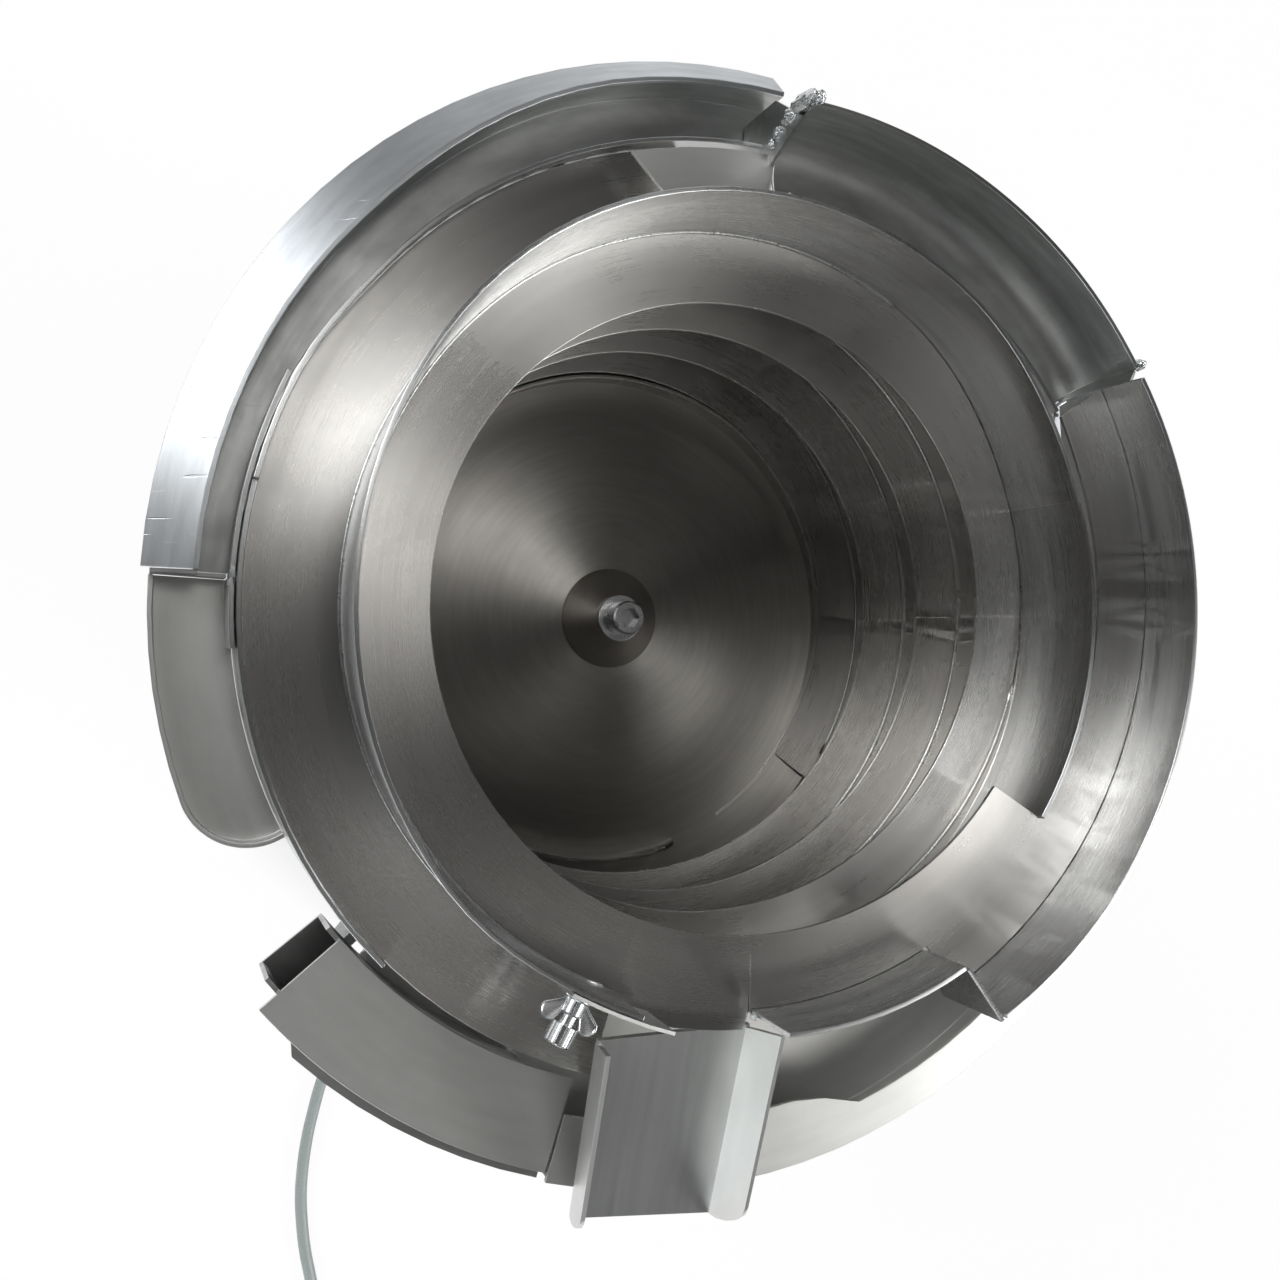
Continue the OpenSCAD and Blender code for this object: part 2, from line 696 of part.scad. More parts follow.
// Frame of one spring pack: X radial, Z along the leaves, origin at mid-height
module at_pack(a) {
    rotate([0, 0, a]) translate([spring_r, 0, spring_mid]) rotate([spring_tilt, 0, 0]) children();
}

module screw_holes(d) {
    for (x = [-screw_y, screw_y], s = [-1, 1]) translate([x, 0, s * (leaf_len - grip) / 2])
        rotate([90, 0, 0]) cylinder(d = d, h = 90, center = true, $fn = 32);
}

module spring_pack(a) {
    color(dark_steel) at_pack(a) difference() {
        union() {
            for (i = [-1, 0, 1]) translate([-leaf_w / 2, 2 * i * leaf_t - leaf_t / 2, -leaf_len / 2])
                cube([leaf_w, leaf_t, leaf_len]);
            for (i = [-1, 1], s = [-1, 1])
                translate([-leaf_w / 2, i * leaf_t - leaf_t / 2, s * (leaf_len - grip) / 2 - grip / 2])
                    cube([leaf_w, leaf_t, grip]);
        }
        screw_holes(clamp_d + 2 * clear);
    }
}

module spring_pack_1() spring_pack(spring_angles[0]);
module spring_pack_2() spring_pack(spring_angles[1]);
module spring_pack_3() spring_pack(spring_angles[2]);

// Block that a spring pack is screwed to, cut level at the plate it grows from
module spring_block(a, s) {
    block_t = 22;
    difference() {
        at_pack(a) translate([-leaf_w / 2, s > 0 ? -pack_t / 2 - block_t : pack_t / 2,
            s > 0 ? leaf_len / 2 - grip : -leaf_len / 2 - 30])
            cube([leaf_w, block_t, grip + 30]);
        at_pack(a) screw_holes(clamp_d + 2 * clear);
    }
}

module top_plate() {
    color(black) difference() {
        union() {
            translate([0, 0, top_z]) cylinder(r = top_r, h = top_t);
            intersection() {
                for (a = spring_angles) spring_block(a, 1);
                translate([-2 * top_r, -2 * top_r, 0]) cube([4 * top_r, 4 * top_r, top_z + top_t / 2]);
            }
        }
        translate([0, 0, top_z - 1]) cylinder(d = bolt_d + 2 * clear, h = top_t + 2);
    }
}

flat_d = 6;                        // depth of the flat milled for the gland
module base_plate() {
    color(black) difference() {
        union() {
            translate([0, 0, foot_h]) cylinder(r = base_r, h = base_t - 3);
            translate([0, 0, base_top - 3]) cylinder(r1 = base_r, r2 = base_r - 3, h = 3);
            intersection() {
                for (a = spring_angles) spring_block(a, -1);
                translate([-2 * base_r, -2 * base_r, foot_h + base_t / 2]) cube(4 * base_r);
            }
        }
        rotate([0, 0, lead_angle]) translate([base_r - flat_d, -20, foot_h - 1]) cube([flat_d + 1, 40, base_t + 2]);
    }
}

module feet() {
    color(rubber) for (a = [90, 210, 330]) rotate([0, 0, a]) translate([foot_pcd_r, 0, 0]) difference() {
        union() {
            cylinder(r1 = foot_r - 1.5, r2 = foot_r, h = 3);
            translate([0, 0, 3]) cylinder(r = foot_r, h = foot_h - 3);
        }
        translate([0, 0, -1]) cylinder(r = foot_hole_r, h = foot_h * 0.7);
    }
}

module clamp_plates() {
    color(grey) for (a = spring_angles, s = [-1, 1]) difference() {
        at_pack(a) translate([-leaf_w / 2, s > 0 ? pack_t / 2 : -pack_t / 2 - clamp_t,
            s * (leaf_len - grip) / 2 - grip / 2]) cube([leaf_w, clamp_t, grip]);
        at_pack(a) screw_holes(clamp_d + 2 * clear);
    }
}

module clamp_screws() {
    color(bright) for (a = spring_angles, s = [-1, 1], x = [-screw_y, screw_y])
        at_pack(a) translate([x, s * (pack_t / 2 + clamp_t), s * (leaf_len - grip) / 2]) rotate([s * 90, 0, 0]) {
            translate([0, 0, -clamp_d]) cylinder(d = 1.6 * clamp_d, h = clamp_d, $fn = 32);
            cylinder(d = clamp_d, h = clamp_t + pack_t + 16, $fn = 32);
        }
}

armature_t = 16;
core_top = top_z - armature_t - air_gap;
leg = core_w / 6;
coil_w = leg - 2 * clear;
module armature() {
    color(dark_steel) translate([-core_w / 2, -core_dp / 2, top_z - armature_t]) cube([core_w, core_dp, armature_t]);
}

module magnet_core() {
    color(dark_steel) difference() {
        translate([-core_w / 2, -core_dp / 2, core_top - core_h]) cube([core_w, core_dp, core_h]);
        for (s = [-1, 1]) translate([s * 1.5 * leg - leg / 2, -core_dp, core_top - core_h + leg])
            cube([leg, 2 * core_dp, core_h]);
    }
}

module coil() {
    x = leg + clear;
    y = core_dp / 2 + clear;
    z = core_top - core_h + leg + clear;
    color(copper) translate([0, 0, z]) difference() {
        translate([-x - coil_w + clear, -y - coil_w, 0]) cube([2 * (x + coil_w - clear), 2 * (y + coil_w), core_h - leg - 4]);
        translate([-x, -y, -1]) cube([2 * x, 2 * y, core_h]);
    }
}

module magnet_stand() {
    wall = 8;
    h = core_top - core_h - base_top;
    color(grey) translate([0, 0, base_top]) difference() {
        translate([-core_w / 2, -core_dp / 2, 0]) cube([core_w, core_dp, h]);
        translate([-core_w / 2 + wall, -core_dp, wall]) cube([core_w - 2 * wall, 2 * core_dp, h - 2 * wall]);
    }
}

// ---------------------------------------------------------------- lead
gland_z = foot_h + base_t / 2;
gland_len = 44;
gland_end = base_r - flat_d + gland_len;
module lead_gland() {
    color(grey) rotate([0, 0, lead_angle]) translate([base_r - flat_d, 0, gland_z]) rotate([0, 90, 0]) {
        cylinder(d = 22, h = 6, $fn = 6);
        translate([0, 0, 6]) cylinder(d = 18, h = 6);
        translate([0, 0, 12]) cylinder(d1 = 16, d2 = lead_d + 3, h = gland_len - 12);
    }
}

function normal(v) = v / norm(v);
// Tube swept along a route, with a ring square to the route at each point
module tube(route, d, sides = 10) {
    n = len(route);
    dir = [for (i = [0:n - 1]) normal(route[min(i + 1, n - 1)] - route[max(i - 1, 0)])];
    pts = [for (i = [0:n - 1]) let (s = normal(cross([0, 0, 1], dir[i])), u = cross(dir[i], s))
        for (j = [0:sides - 1]) let (a = 360 * j / sides) route[i] + d / 2 * (cos(a) * s + sin(a) * u)];
    faces = [for (i = [0:n - 2], j = [0:sides - 1]) let (k = (j + 1) % sides)
        each [[i * sides + j, i * sides + k, (i + 1) * sides + k], [i * sides + j, (i + 1) * sides + k, (i + 1) * sides + j]]];
    polyhedron(pts, concat([[for (j = [sides - 1:-1:0]) j]], faces, [[for (j = [0:sides - 1]) (n - 1) * sides + j]]),
        convexity = 8);
}

coil_c = [-78, -530];
coil_r = 44;
lie = lead_d / 2 + 0.2;
lead_start = [gland_end * cos(lead_angle), gland_end * sin(lead_angle), gland_z];
lead_route = concat([lead_start], [
    [-76, -188, 33.5], [-84.5, -208, 28], [-93, -227, 20], [-101.5, -246, 12], [-110, -265, 6.5],
    [-118, -283, 4.6], [-125, -298, lie], [-130.6, -312, lie], [-136.2, -331.5, lie], [-140.6, -351, lie],
    [-143.4, -371, lie], [-144.5, -388, lie], [-143.9, -405, lie], [-141.8, -425.5, lie], [-138.2, -445, lie],
    [-135.2, -463, lie], [-133.6, -481, lie], [-133.2, -499, lie], [-133.8, -515, lie], [-134.4, -530, lie]]);
tail_route = [[-29.2, -558.2, lie], [-21, -544, lie], [-9, -532, lie], [7, -524, lie], [25, -521, 5],
    [43, -522, 7], [58, -524, 9]];

module lead() color(grey) tube(lead_route, lead_d);

module lead_coil() {
    color(grey) translate([coil_c.x, coil_c.y, 0.2]) rotate_extrude()
        translate([coil_r - lead_d, 0]) square([2 * lead_d, 2 * lead_d]);
}

module lead_tail() color(grey) tube(tail_route, lead_d);

module lead_plug() {
    color(bright) translate(tail_route[len(tail_route) - 1]) rotate([0, 90, -8]) {
        cylinder(d = 12, h = 12);
        translate([0, 0, 12]) cylinder(d = 17.6, h = 22);
        translate([0, 0, 34]) difference() {
            cylinder(d = 15, h = 12);
            translate([0, 0, 3]) cylinder(d = 12, h = 12);
        }
    }
}

bowl_floor();
bowl_shell();
bowl_base();
clamp_disc();
flat_washer();
spring_washer();
centre_bolt();
start_riser();
track_1();
track_2();
track_3();
top_track();
upper_wall();
rim_wall();
outlet_wall();
lane_wall();
lane_end_plate();
half_pipe();
drop_plate();
sorting_band();
band_lip();
gutter();
flange();
guard_strip();
pipe_tab();
left_tray();
band_skirt();
catch_plate();
return_box();
pan();
chute();
gate_plate();
gate_stud();
wing_nut();
pan_gussets();
box_gussets();
band_gussets();
pipe_gussets();
top_plate();
base_plate();
feet();
spring_pack_1();
spring_pack_2();
spring_pack_3();
clamp_plates();
clamp_screws();
armature();
magnet_core();
coil();
magnet_stand();
lead_gland();
lead();
lead_coil();
lead_tail();
lead_plug();
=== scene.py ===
"""Vibratory bowl feeder: finishes, welds, fasteners and the lead."""

import logging
import math
from dataclasses import dataclass, field
from enum import Enum
from typing import Callable, Sequence

import bpy
from mathutils import Matrix, Vector

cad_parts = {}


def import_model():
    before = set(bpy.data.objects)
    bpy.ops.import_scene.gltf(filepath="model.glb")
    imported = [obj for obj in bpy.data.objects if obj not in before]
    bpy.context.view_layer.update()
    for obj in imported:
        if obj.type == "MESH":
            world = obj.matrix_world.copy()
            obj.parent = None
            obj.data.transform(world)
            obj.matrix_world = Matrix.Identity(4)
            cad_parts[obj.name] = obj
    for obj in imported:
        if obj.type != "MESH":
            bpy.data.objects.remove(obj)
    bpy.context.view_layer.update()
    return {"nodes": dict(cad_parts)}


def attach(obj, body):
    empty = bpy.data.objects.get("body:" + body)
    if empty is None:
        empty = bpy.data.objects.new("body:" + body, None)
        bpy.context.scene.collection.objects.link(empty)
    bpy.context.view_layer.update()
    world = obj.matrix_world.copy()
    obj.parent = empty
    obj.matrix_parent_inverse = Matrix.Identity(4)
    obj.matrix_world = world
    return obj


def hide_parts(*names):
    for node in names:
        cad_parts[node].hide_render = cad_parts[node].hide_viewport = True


log = logging.getLogger("bowl_feeder")

MM = 0.001
CROWN = 225.0          # height of the floor's crown, mm
BOWL_R = 163.0         # inside radius of the bowl, mm
PITCH = 54.5           # rise of the track in one turn, mm
START_LIFT = -11.0     # height of the track above the crown at +X, mm
DOUBLES = 2e-6         # vertices closer than this are one, m
GROOVE_DEPTH = 0.0003  # relief of the grain in bare metal, m
GRAIN_SHARES = (("Fine", 1.0), ("Coarse", 0.16))

Point = tuple[float, float, float]
Colour = tuple[float, float, float]
Corners = tuple[tuple[float, float], ...]


def mm(*values: float) -> Point:
    """A point or size given in millimetres, in metres."""
    return tuple(v * MM for v in values)


def polar(radius: float, angle: float, z: float) -> Point:
    """A point in metres from a radius and height in millimetres and an angle in degrees."""
    a = math.radians(angle)
    return mm(radius * math.cos(a), radius * math.sin(a), z)


def track_z(angle: float) -> float:
    """Height of the track in millimetres, at an angle counted from its first pass of +X."""
    return CROWN + START_LIFT + PITCH * angle / 360.0


# ------------------------------------------------------------------ modelling
def deselect() -> None:
    """Leaves edit mode and selects nothing."""
    if bpy.context.object and bpy.context.object.mode != "OBJECT":
        bpy.ops.object.mode_set(mode="OBJECT")
    bpy.ops.object.select_all(action="DESELECT")


def pick(obj: bpy.types.Object) -> bpy.types.Object:
    """Selects one object alone and makes it the active one.

    Args:
        obj: The object.

    Returns:
        The same object.
    """
    deselect()
    obj.select_set(True)
    bpy.context.view_layer.objects.active = obj
    return obj


def settle(obj: bpy.types.Object, matrix: Matrix | None = None) -> bpy.types.Object:
    """Moves an object and puts its place into its mesh.

    Args:
        obj: The object.
        matrix: Where it goes, or None to keep the place it has.

    Returns:
        The same object, at the origin.
    """
    pick(obj)
    if matrix is not None:
        obj.matrix_world = matrix @ obj.matrix_world
    bpy.ops.object.transform_apply(location=True, rotation=True, scale=True)
    return obj


def select_faces(obj: bpy.types.Object, test: Callable[[bpy.types.MeshPolygon], bool]) -> None:
    """Enters edit mode with only the faces selected that pass a test.

    Args:
        obj: The mesh object.
        test: Takes a polygon and says whether it is wanted.
    """
    pick(obj)
    mesh = obj.data
    for part in (mesh.vertices, mesh.edges, mesh.polygons):
        part.foreach_set("select", [False] * len(part))
    for poly in mesh.polygons:
        poly.select = bool(test(poly))
    bpy.ops.object.mode_set(mode="EDIT")
    bpy.ops.mesh.select_mode(type="FACE")


def select_points(obj: bpy.types.Object, test: Callable[[Vector], bool]) -> None:
    """Enters edit mode with only the vertices selected that pass a test.

    Args:
        obj: The mesh object.
        test: Takes a vertex's place and says whether it is wanted.
    """
    pick(obj)
    mesh = obj.data
    for part in (mesh.edges, mesh.polygons):
        part.foreach_set("select", [False] * len(part))
    mesh.vertices.foreach_set("select", [bool(test(v.co)) for v in mesh.vertices])
    bpy.ops.object.mode_set(mode="EDIT")
    bpy.ops.mesh.select_mode(type="VERT")


def modify(obj: bpy.types.Object, kind: str, **settings: object) -> bpy.types.Object:
    """Adds a modifier, sets it and applies it.

    Args:
        obj: The object.
        kind: The modifier's type.
        **settings: Its properties.

    Returns:
        The same object.
    """
    pick(obj)
    mod = obj.modifiers.new(kind.lower(), kind)
    for name, value in settings.items():
        setattr(mod, name, value)
    bpy.ops.object.modifier_apply(modifier=mod.name)
    return obj


def join(name: str, pieces: Sequence[bpy.types.Object]) -> bpy.types.Object:
    """Joins meshes into the first and names the result.

    Args:
        name: Name of the joined piece.
        pieces: The meshes.

    Returns:
        The joined piece.
    """
    pick(pieces[0])
    for piece in pieces[1:]:
        piece.select_set(True)
    if len(pieces) > 1:
        bpy.ops.object.join()
    pieces[0].name = name
    return pieces[0]


def copy_of(obj: bpy.types.Object, matrix: Matrix) -> bpy.types.Object:
    """A copy with its own mesh, moved by a matrix that goes into its mesh.

    Args:
        obj: The object.
        matrix: Where the copy goes.

    Returns:
        The copy.
    """
    twin = obj.copy()
    twin.data = obj.data.copy()
    bpy.context.collection.objects.link(twin)
    return settle(twin, matrix)


def cylinder(radius: float, depth: float, z: float = 0.0, sides: int = 48) -> bpy.types.Object:
    """A cylinder round Z.

    Args:
        radius: Its radius, mm.
        depth: Its height, mm.
        z: Height of its foot, mm.
        sides: How many sides it has.

    Returns:
        The cylinder.
    """
    deselect()
    bpy.ops.mesh.primitive_cylinder_add(
        vertices=sides, radius=radius * MM, depth=depth * MM, location=mm(0, 0, z + depth / 2))
    return settle(bpy.context.object)


def smooth(obj: bpy.types.Object, angle: float = 35.0) -> bpy.types.Object:
    """Shades an object smooth, with edges sharper than an angle left crisp.

    Args:
        obj: The object.
        angle: The angle, degrees.

    Returns:
        The same object.
    """
    pick(obj)
    bpy.ops.object.shade_smooth_by_angle(angle=math.radians(angle))
    return obj


def outwards(obj: bpy.types.Object) -> bpy.types.Object:
    """Merges doubles, closes holes and turns every face outwards.

    Args:
        obj: The mesh object.

    Returns:
        The same object.
    """
    select_faces(obj, lambda poly: True)
    bpy.ops.mesh.remove_doubles(threshold=DOUBLES)
    bpy.ops.mesh.fill_holes(sides=0)
    bpy.ops.mesh.select_all(action="SELECT")
    bpy.ops.mesh.normals_make_consistent(inside=False)
    bpy.ops.object.mode_set(mode="OBJECT")
    return obj


def raise_ribs(obj: bpy.types.Object, every: int, height: float) -> None:
    """Raises some of a round piece's side faces into ribs.

    Args:
        obj: The piece, round Z.
        every: One face in this many is raised.
        height: How far, mm.
    """
    select_faces(obj, lambda p: abs(p.normal.z) < 0.5 and p.index % every == 0)
    bpy.ops.mesh.extrude_faces_move(TRANSFORM_OT_shrink_fatten={"value": height * MM})
    deselect()


def ease_top(obj: bpy.types.Object, inset: float, rise: float) -> None:
    """Raises a piece's top face inside a sloping rim.

    Args:
        obj: The piece.
        inset: Width of the rim, mm.
        rise: Its height, mm.
    """
    select_faces(obj, lambda p: p.normal.z > 0.9)
    bpy.ops.mesh.inset(thickness=inset * MM, depth=rise * MM)
    deselect()


def along(at: Point, direction: Vector, roll: float = 0.0) -> Matrix:
    """A place whose Z points along a direction.

    Args:
        at: The place, in metres.
        direction: Where local Z goes.
        roll: Turn round local Z, in degrees.

    Returns:
        The matrix.
    """
    turn = direction.normalized().to_track_quat("Z", "Y").to_matrix().to_4x4()
    return Matrix.Translation(at) @ turn @ Matrix.Rotation(math.radians(roll), 4, "Z")


# ------------------------------------------------------------------ shaders
class Tree:
    """A short way to add shader nodes and link them."""

    MIX_INPUTS = (0, 6, 7)     # factor and both colours, on a Mix node set to colours
    MIX_RESULT = 2

    def __init__(self, tree: bpy.types.NodeTree) -> None:
        """Keeps the tree that nodes are added to."""
        self.tree = tree

    def add(self, kind: str, feeds: dict[str | int, object] | None = None,
            **settings: object) -> bpy.types.Node:
        """Adds a node.

        Args:
            kind: The node's type without its ShaderNode prefix.
            feeds: Input name or index to a value, or to the socket that feeds it.
            **settings: Properties of the node.

        Returns:
            The node.
        """
        node = self.tree.nodes.new("ShaderNode" + kind)
        for name, value in settings.items():
            setattr(node, name, value)
        for name, value in (feeds or {}).items():
            if isinstance(value, bpy.types.NodeSocket):
                self.tree.links.new(value, node.inputs[name])
            else:
                node.inputs[name].default_value = value
        return node

    def math(self, operation: str, a: object, b: object = 0.0, clamp: bool = False) -> bpy.types.NodeSocket:
        """The result of a Math node."""
        return self.add("Math", {0: a, 1: b}, operation=operation, use_clamp=clamp).outputs[0]

    def ramp(self, value: object, low: float, high: float, out_low: float = 0.0,
             out_high: float = 1.0) -> bpy.types.NodeSocket:
        """A value mapped from one range to another, held at its ends."""
        return self.add("MapRange", {"Value": value, "From Min": low, "From Max": high,
                                     "To Min": out_low, "To Max": out_high}).outputs[0]

    def mix(self, factor: object, a: object, b: object) -> bpy.types.NodeSocket:
        """A colour between two others.

        Args:
            factor: Share of the second, 0 to 1.
            a: The first colour.
            b: The second colour.

        Returns:
            The colour.
        """
        node = self.add("Mix", data_type="RGBA")
        for index, value in zip(self.MIX_INPUTS, (factor, a, b)):
            if isinstance(value, bpy.types.NodeSocket):
                self.tree.links.new(value, node.inputs[index])
            else:
                node.inputs[index].default_value = (*value, 1.0) if index else value
        return node.outputs[self.MIX_RESULT]

    def noise(self, vector: object, scale: float = 1.0, detail: float = 2.0,
              w: object | None = None) -> bpy.types.NodeSocket:
        """The value of a noise texture, four-dimensional where w is given.

        Args:
            vector: The place it is read at.
            scale: Its scale.
            detail: Its detail.
            w: The fourth coordinate.

        Returns:
            The value.
        """
        feeds: dict[str | int, object] = {"Vector": vector, "Scale": scale, "Detail": detail}
        if w is not None:
            feeds["W"] = w
        return self.add("TexNoise", feeds, noise_dimensions="3D" if w is None else "4D").outputs["Fac"]


def shader_group(name: str, inputs: dict[str, float], outputs: Sequence[str],
                 build: Callable[[Tree, bpy.types.Node, bpy.types.Node], None]) -> bpy.types.NodeTree:
    """A shared node group of values, built once.

    Args:
        name: The group's name.
        inputs: Its inputs and their defaults.
        outputs: Its outputs.
        build: Adds the nodes between its input and output nodes.

    Returns:
        The group's tree.
    """
    found = bpy.data.node_groups.get(name)
    if found:
        return found
    made = bpy.data.node_groups.new(name, "ShaderNodeTree")
    for key, value in inputs.items():
        made.interface.new_socket(key, in_out="INPUT", socket_type="NodeSocketFloat").default_value = value
    for key in outputs:
        made.interface.new_socket(key, in_out="OUTPUT", socket_type="NodeSocketFloat")
    tree = Tree(made)
    build(tree, made.nodes.new("NodeGroupInput"), made.nodes.new("NodeGroupOutput"))
    return made


def blank_material(name: str) -> tuple[bpy.types.Material, Tree]:
    """A new material with no nodes.

    Args:
        name: Its name.

    Returns:
        The material and its tree.
    """
    made = bpy.data.materials.new(name)
    made.use_nodes = True
    made.node_tree.nodes.clear()
    return made, Tree(made.node_tree)


def _ring_grain(t: Tree, given: bpy.types.Node, out: bpy.types.Node) -> None:
    """Grooves that run round the bowl's axis, fine and coarse, with no seam.

    Args:
        t: The group's tree.
        given: Its input node.
        out: Its output node.
    """
    place = t.add("SeparateXYZ", {0: t.add("TexCoord").outputs["Object"]})
    x, y, z = place.outputs
    square = t.math("ADD", t.math("MULTIPLY", x, x), t.math("MULTIPLY", y, y))
    radius = t.math("MAXIMUM", t.math("SQRT", square), 1e-4)
    for output, share in GRAIN_SHARES:
        lines = t.math("MULTIPLY", given.outputs["Lines"], share)
        ring = t.add("CombineXYZ", {
            0: t.math("MULTIPLY", t.math("DIVIDE", x, radius), given.outputs["Sweep"]),
            1: t.math("MULTIPLY", t.math("DIVIDE", y, radius), given.outputs["Sweep"]),
            2: t.math("MULTIPLY", radius, lines)})
        level = t.math("MULTIPLY", z, t.math("MULTIPLY", given.outputs["Rise"], share))
        t.tree.links.new(t.noise(ring.outputs[0], w=level, detail=3.0), out.inputs[output])


def _line_grain(t: Tree, given: bpy.types.Node, out: bpy.types.Node) -> None:
    """Grooves that run along Y, on sheets rolled flat; the rise does nothing here.

    Args:
        t: The group's tree.
        given: Its input node.
        out: Its output node.
    """
    place = t.add("SeparateXYZ", {0: t.add("TexCoord").outputs["Object"]})
    x, y, z = place.outputs
    for output, share in GRAIN_SHARES:
        lines = t.math("MULTIPLY", given.outputs["Lines"], share)
        strip = t.add("CombineXYZ", {
            0: t.math("MULTIPLY", x, lines), 1: t.math("MULTIPLY", y, given.outputs["Sweep"]),
            2: t.math("MULTIPLY", z, given.outputs["Sweep"])})
        t.tree.links.new(t.noise(strip.outputs[0], detail=3.0), out.inputs[output])


def _wear(t: Tree, given: bpy.types.Node, out: bpy.types.Node) -> None:
    """Smudges, thin scratches and small specks left by use.

    Args:
        t: The group's tree.
        given: Its input node.
        out: Its output node.
    """
    place = t.add("TexCoord").outputs["Object"]
    scale = given.outputs["Scale"]
    cloud = t.add("TexNoise", {"Vector": place, "Scale": scale, "Detail": 5.0,
                               "Roughness": 0.62, "Distortion": 0.6})
    t.tree.links.new(t.ramp(cloud.outputs["Fac"], 0.35, 0.68), out.inputs["Smudge"])
    lines = None
    for turn, offset in ((0.4, 3.1), (1.3, 7.7), (2.2, 1.9)):
        strip = t.add("Mapping", {"Vector": place, "Location": (offset, offset, 0.0),
                                  "Rotation": (0.2, 0.0, turn), "Scale": (6.0, 420.0, 60.0)})
        thin = t.ramp(t.noise(strip.outputs[0], 1.0, 1.0), 0.745, 0.775)
        lines = thin if lines is None else t.math("MAXIMUM", lines, thin)
    t.tree.links.new(lines, out.inputs["Scratch"])
    cells = t.add("TexVoronoi", {"Vector": place, "Scale": t.math("MULTIPLY", scale, 16.0),
                                 "Randomness": 1.0})
    dots = t.ramp(cells.outputs["Distance"], 0.06, 0.03)
    kept = t.ramp(t.add("SeparateColor", {0: cells.outputs["Color"]}).outputs[0], 0.93, 0.94)
    t.tree.links.new(t.math("MULTIPLY", dots, kept), out.inputs["Speck"])


def wear(t: Tree, scale: float) -> bpy.types.Node:
    """The wear group, placed in a material.

    Args:
        t: The material's tree.
        scale: Scale of the smudges.

    Returns:
        The group's node.
    """
    node = t.add("Group", node_tree=shader_group(
        "wear", {"Scale": 14.0}, ("Smudge", "Scratch", "Speck"), _wear))
    node.inputs["Scale"].default_value = scale
    return node


class Run(Enum):
    """Which way the grain of a sheet runs."""

    ROUND = "ring grain"
    STRAIGHT = "line grain"


GRAINS = {Run.ROUND: _ring_grain, Run.STRAIGHT: _line_grain}


@dataclass(frozen=True)
class Steel:
    """Bare metal with a worked grain."""

    name: str
    colour: Colour
    roughness: float = 0.30
    aniso: float = 0.6
    lines: float = 1500.0
    sweep: float = 5.0
    groove: float = 0.12
    banding: float = 0.10
    smudge: float = 0.10
    scratch: float = 0.4
    wear_scale: float = 14.0
    run: Run = Run.ROUND
    rise: float = 1500.0

    def material(self) -> bpy.types.Material:
        """Builds the finish.

        Returns:
            The material.
        """
        made, t = blank_material(self.name)
        grain = t.add("Group", node_tree=shader_group(
            self.run.value, {"Lines": Steel.lines, "Sweep": Steel.sweep, "Rise": Steel.rise},
            ("Fine", "Coarse"), GRAINS[self.run]))
        for key, value in (("Lines", self.lines), ("Sweep", self.sweep), ("Rise", self.rise)):
            grain.inputs[key].default_value = value
        fine, coarse = grain.outputs["Fine"], grain.outputs["Coarse"]
        smudge, scratch, speck = wear(t, self.wear_scale).outputs
        tone = t.ramp(coarse, 0.3, 0.7, 1.0 - self.banding, 1.0 + self.banding)
        soiled = t.ramp(smudge, 0.0, 1.0, 1.0 + 0.4 * self.smudge, 1.0 - 0.6 * self.smudge)
        shade = t.math("MULTIPLY", tone, soiled)
        grey = t.add("HueSaturation", {"Color": (*self.colour, 1.0), "Value": shade}).outputs[0]
        marked = t.mix(t.math("MULTIPLY", speck, 0.2), grey, tuple(0.35 * c for c in self.colour))
        rough = t.math("ADD", t.ramp(fine, 0.25, 0.75, self.roughness - 0.02, self.roughness + 0.02),
                       t.math("MULTIPLY", smudge, 0.35 * self.smudge))
        height = t.math("SUBTRACT", t.math("ADD", fine, t.math("MULTIPLY", coarse, 1.5)),
                        t.math("MULTIPLY", scratch, self.scratch))
        bump = t.add("Bump", {"Height": height, "Strength": self.groove, "Distance": GROOVE_DEPTH})
        if self.run is Run.ROUND:
            spot = t.add("SeparateXYZ", {0: t.add("TexCoord").outputs["Object"]})
            tangent = t.add("CombineXYZ", {0: spot.outputs[0], 1: spot.outputs[1], 2: 0.0})
        else:
            tangent = t.add("CombineXYZ", {0: 1.0, 1: 0.0, 2: 0.0})
        straight = t.add("VectorMath", {0: tangent.outputs[0]}, operation="NORMALIZE")
        shader = t.add("BsdfPrincipled", {
            "Base Color": marked, "Roughness": rough, "Metallic": 1.0, "Anisotropic": self.aniso,
            "Normal": bump.outputs[0], "Tangent": straight.outputs[0]})
        t.add("OutputMaterial", {"Surface": shader.outputs[0]}).is_active_output = True
        return made


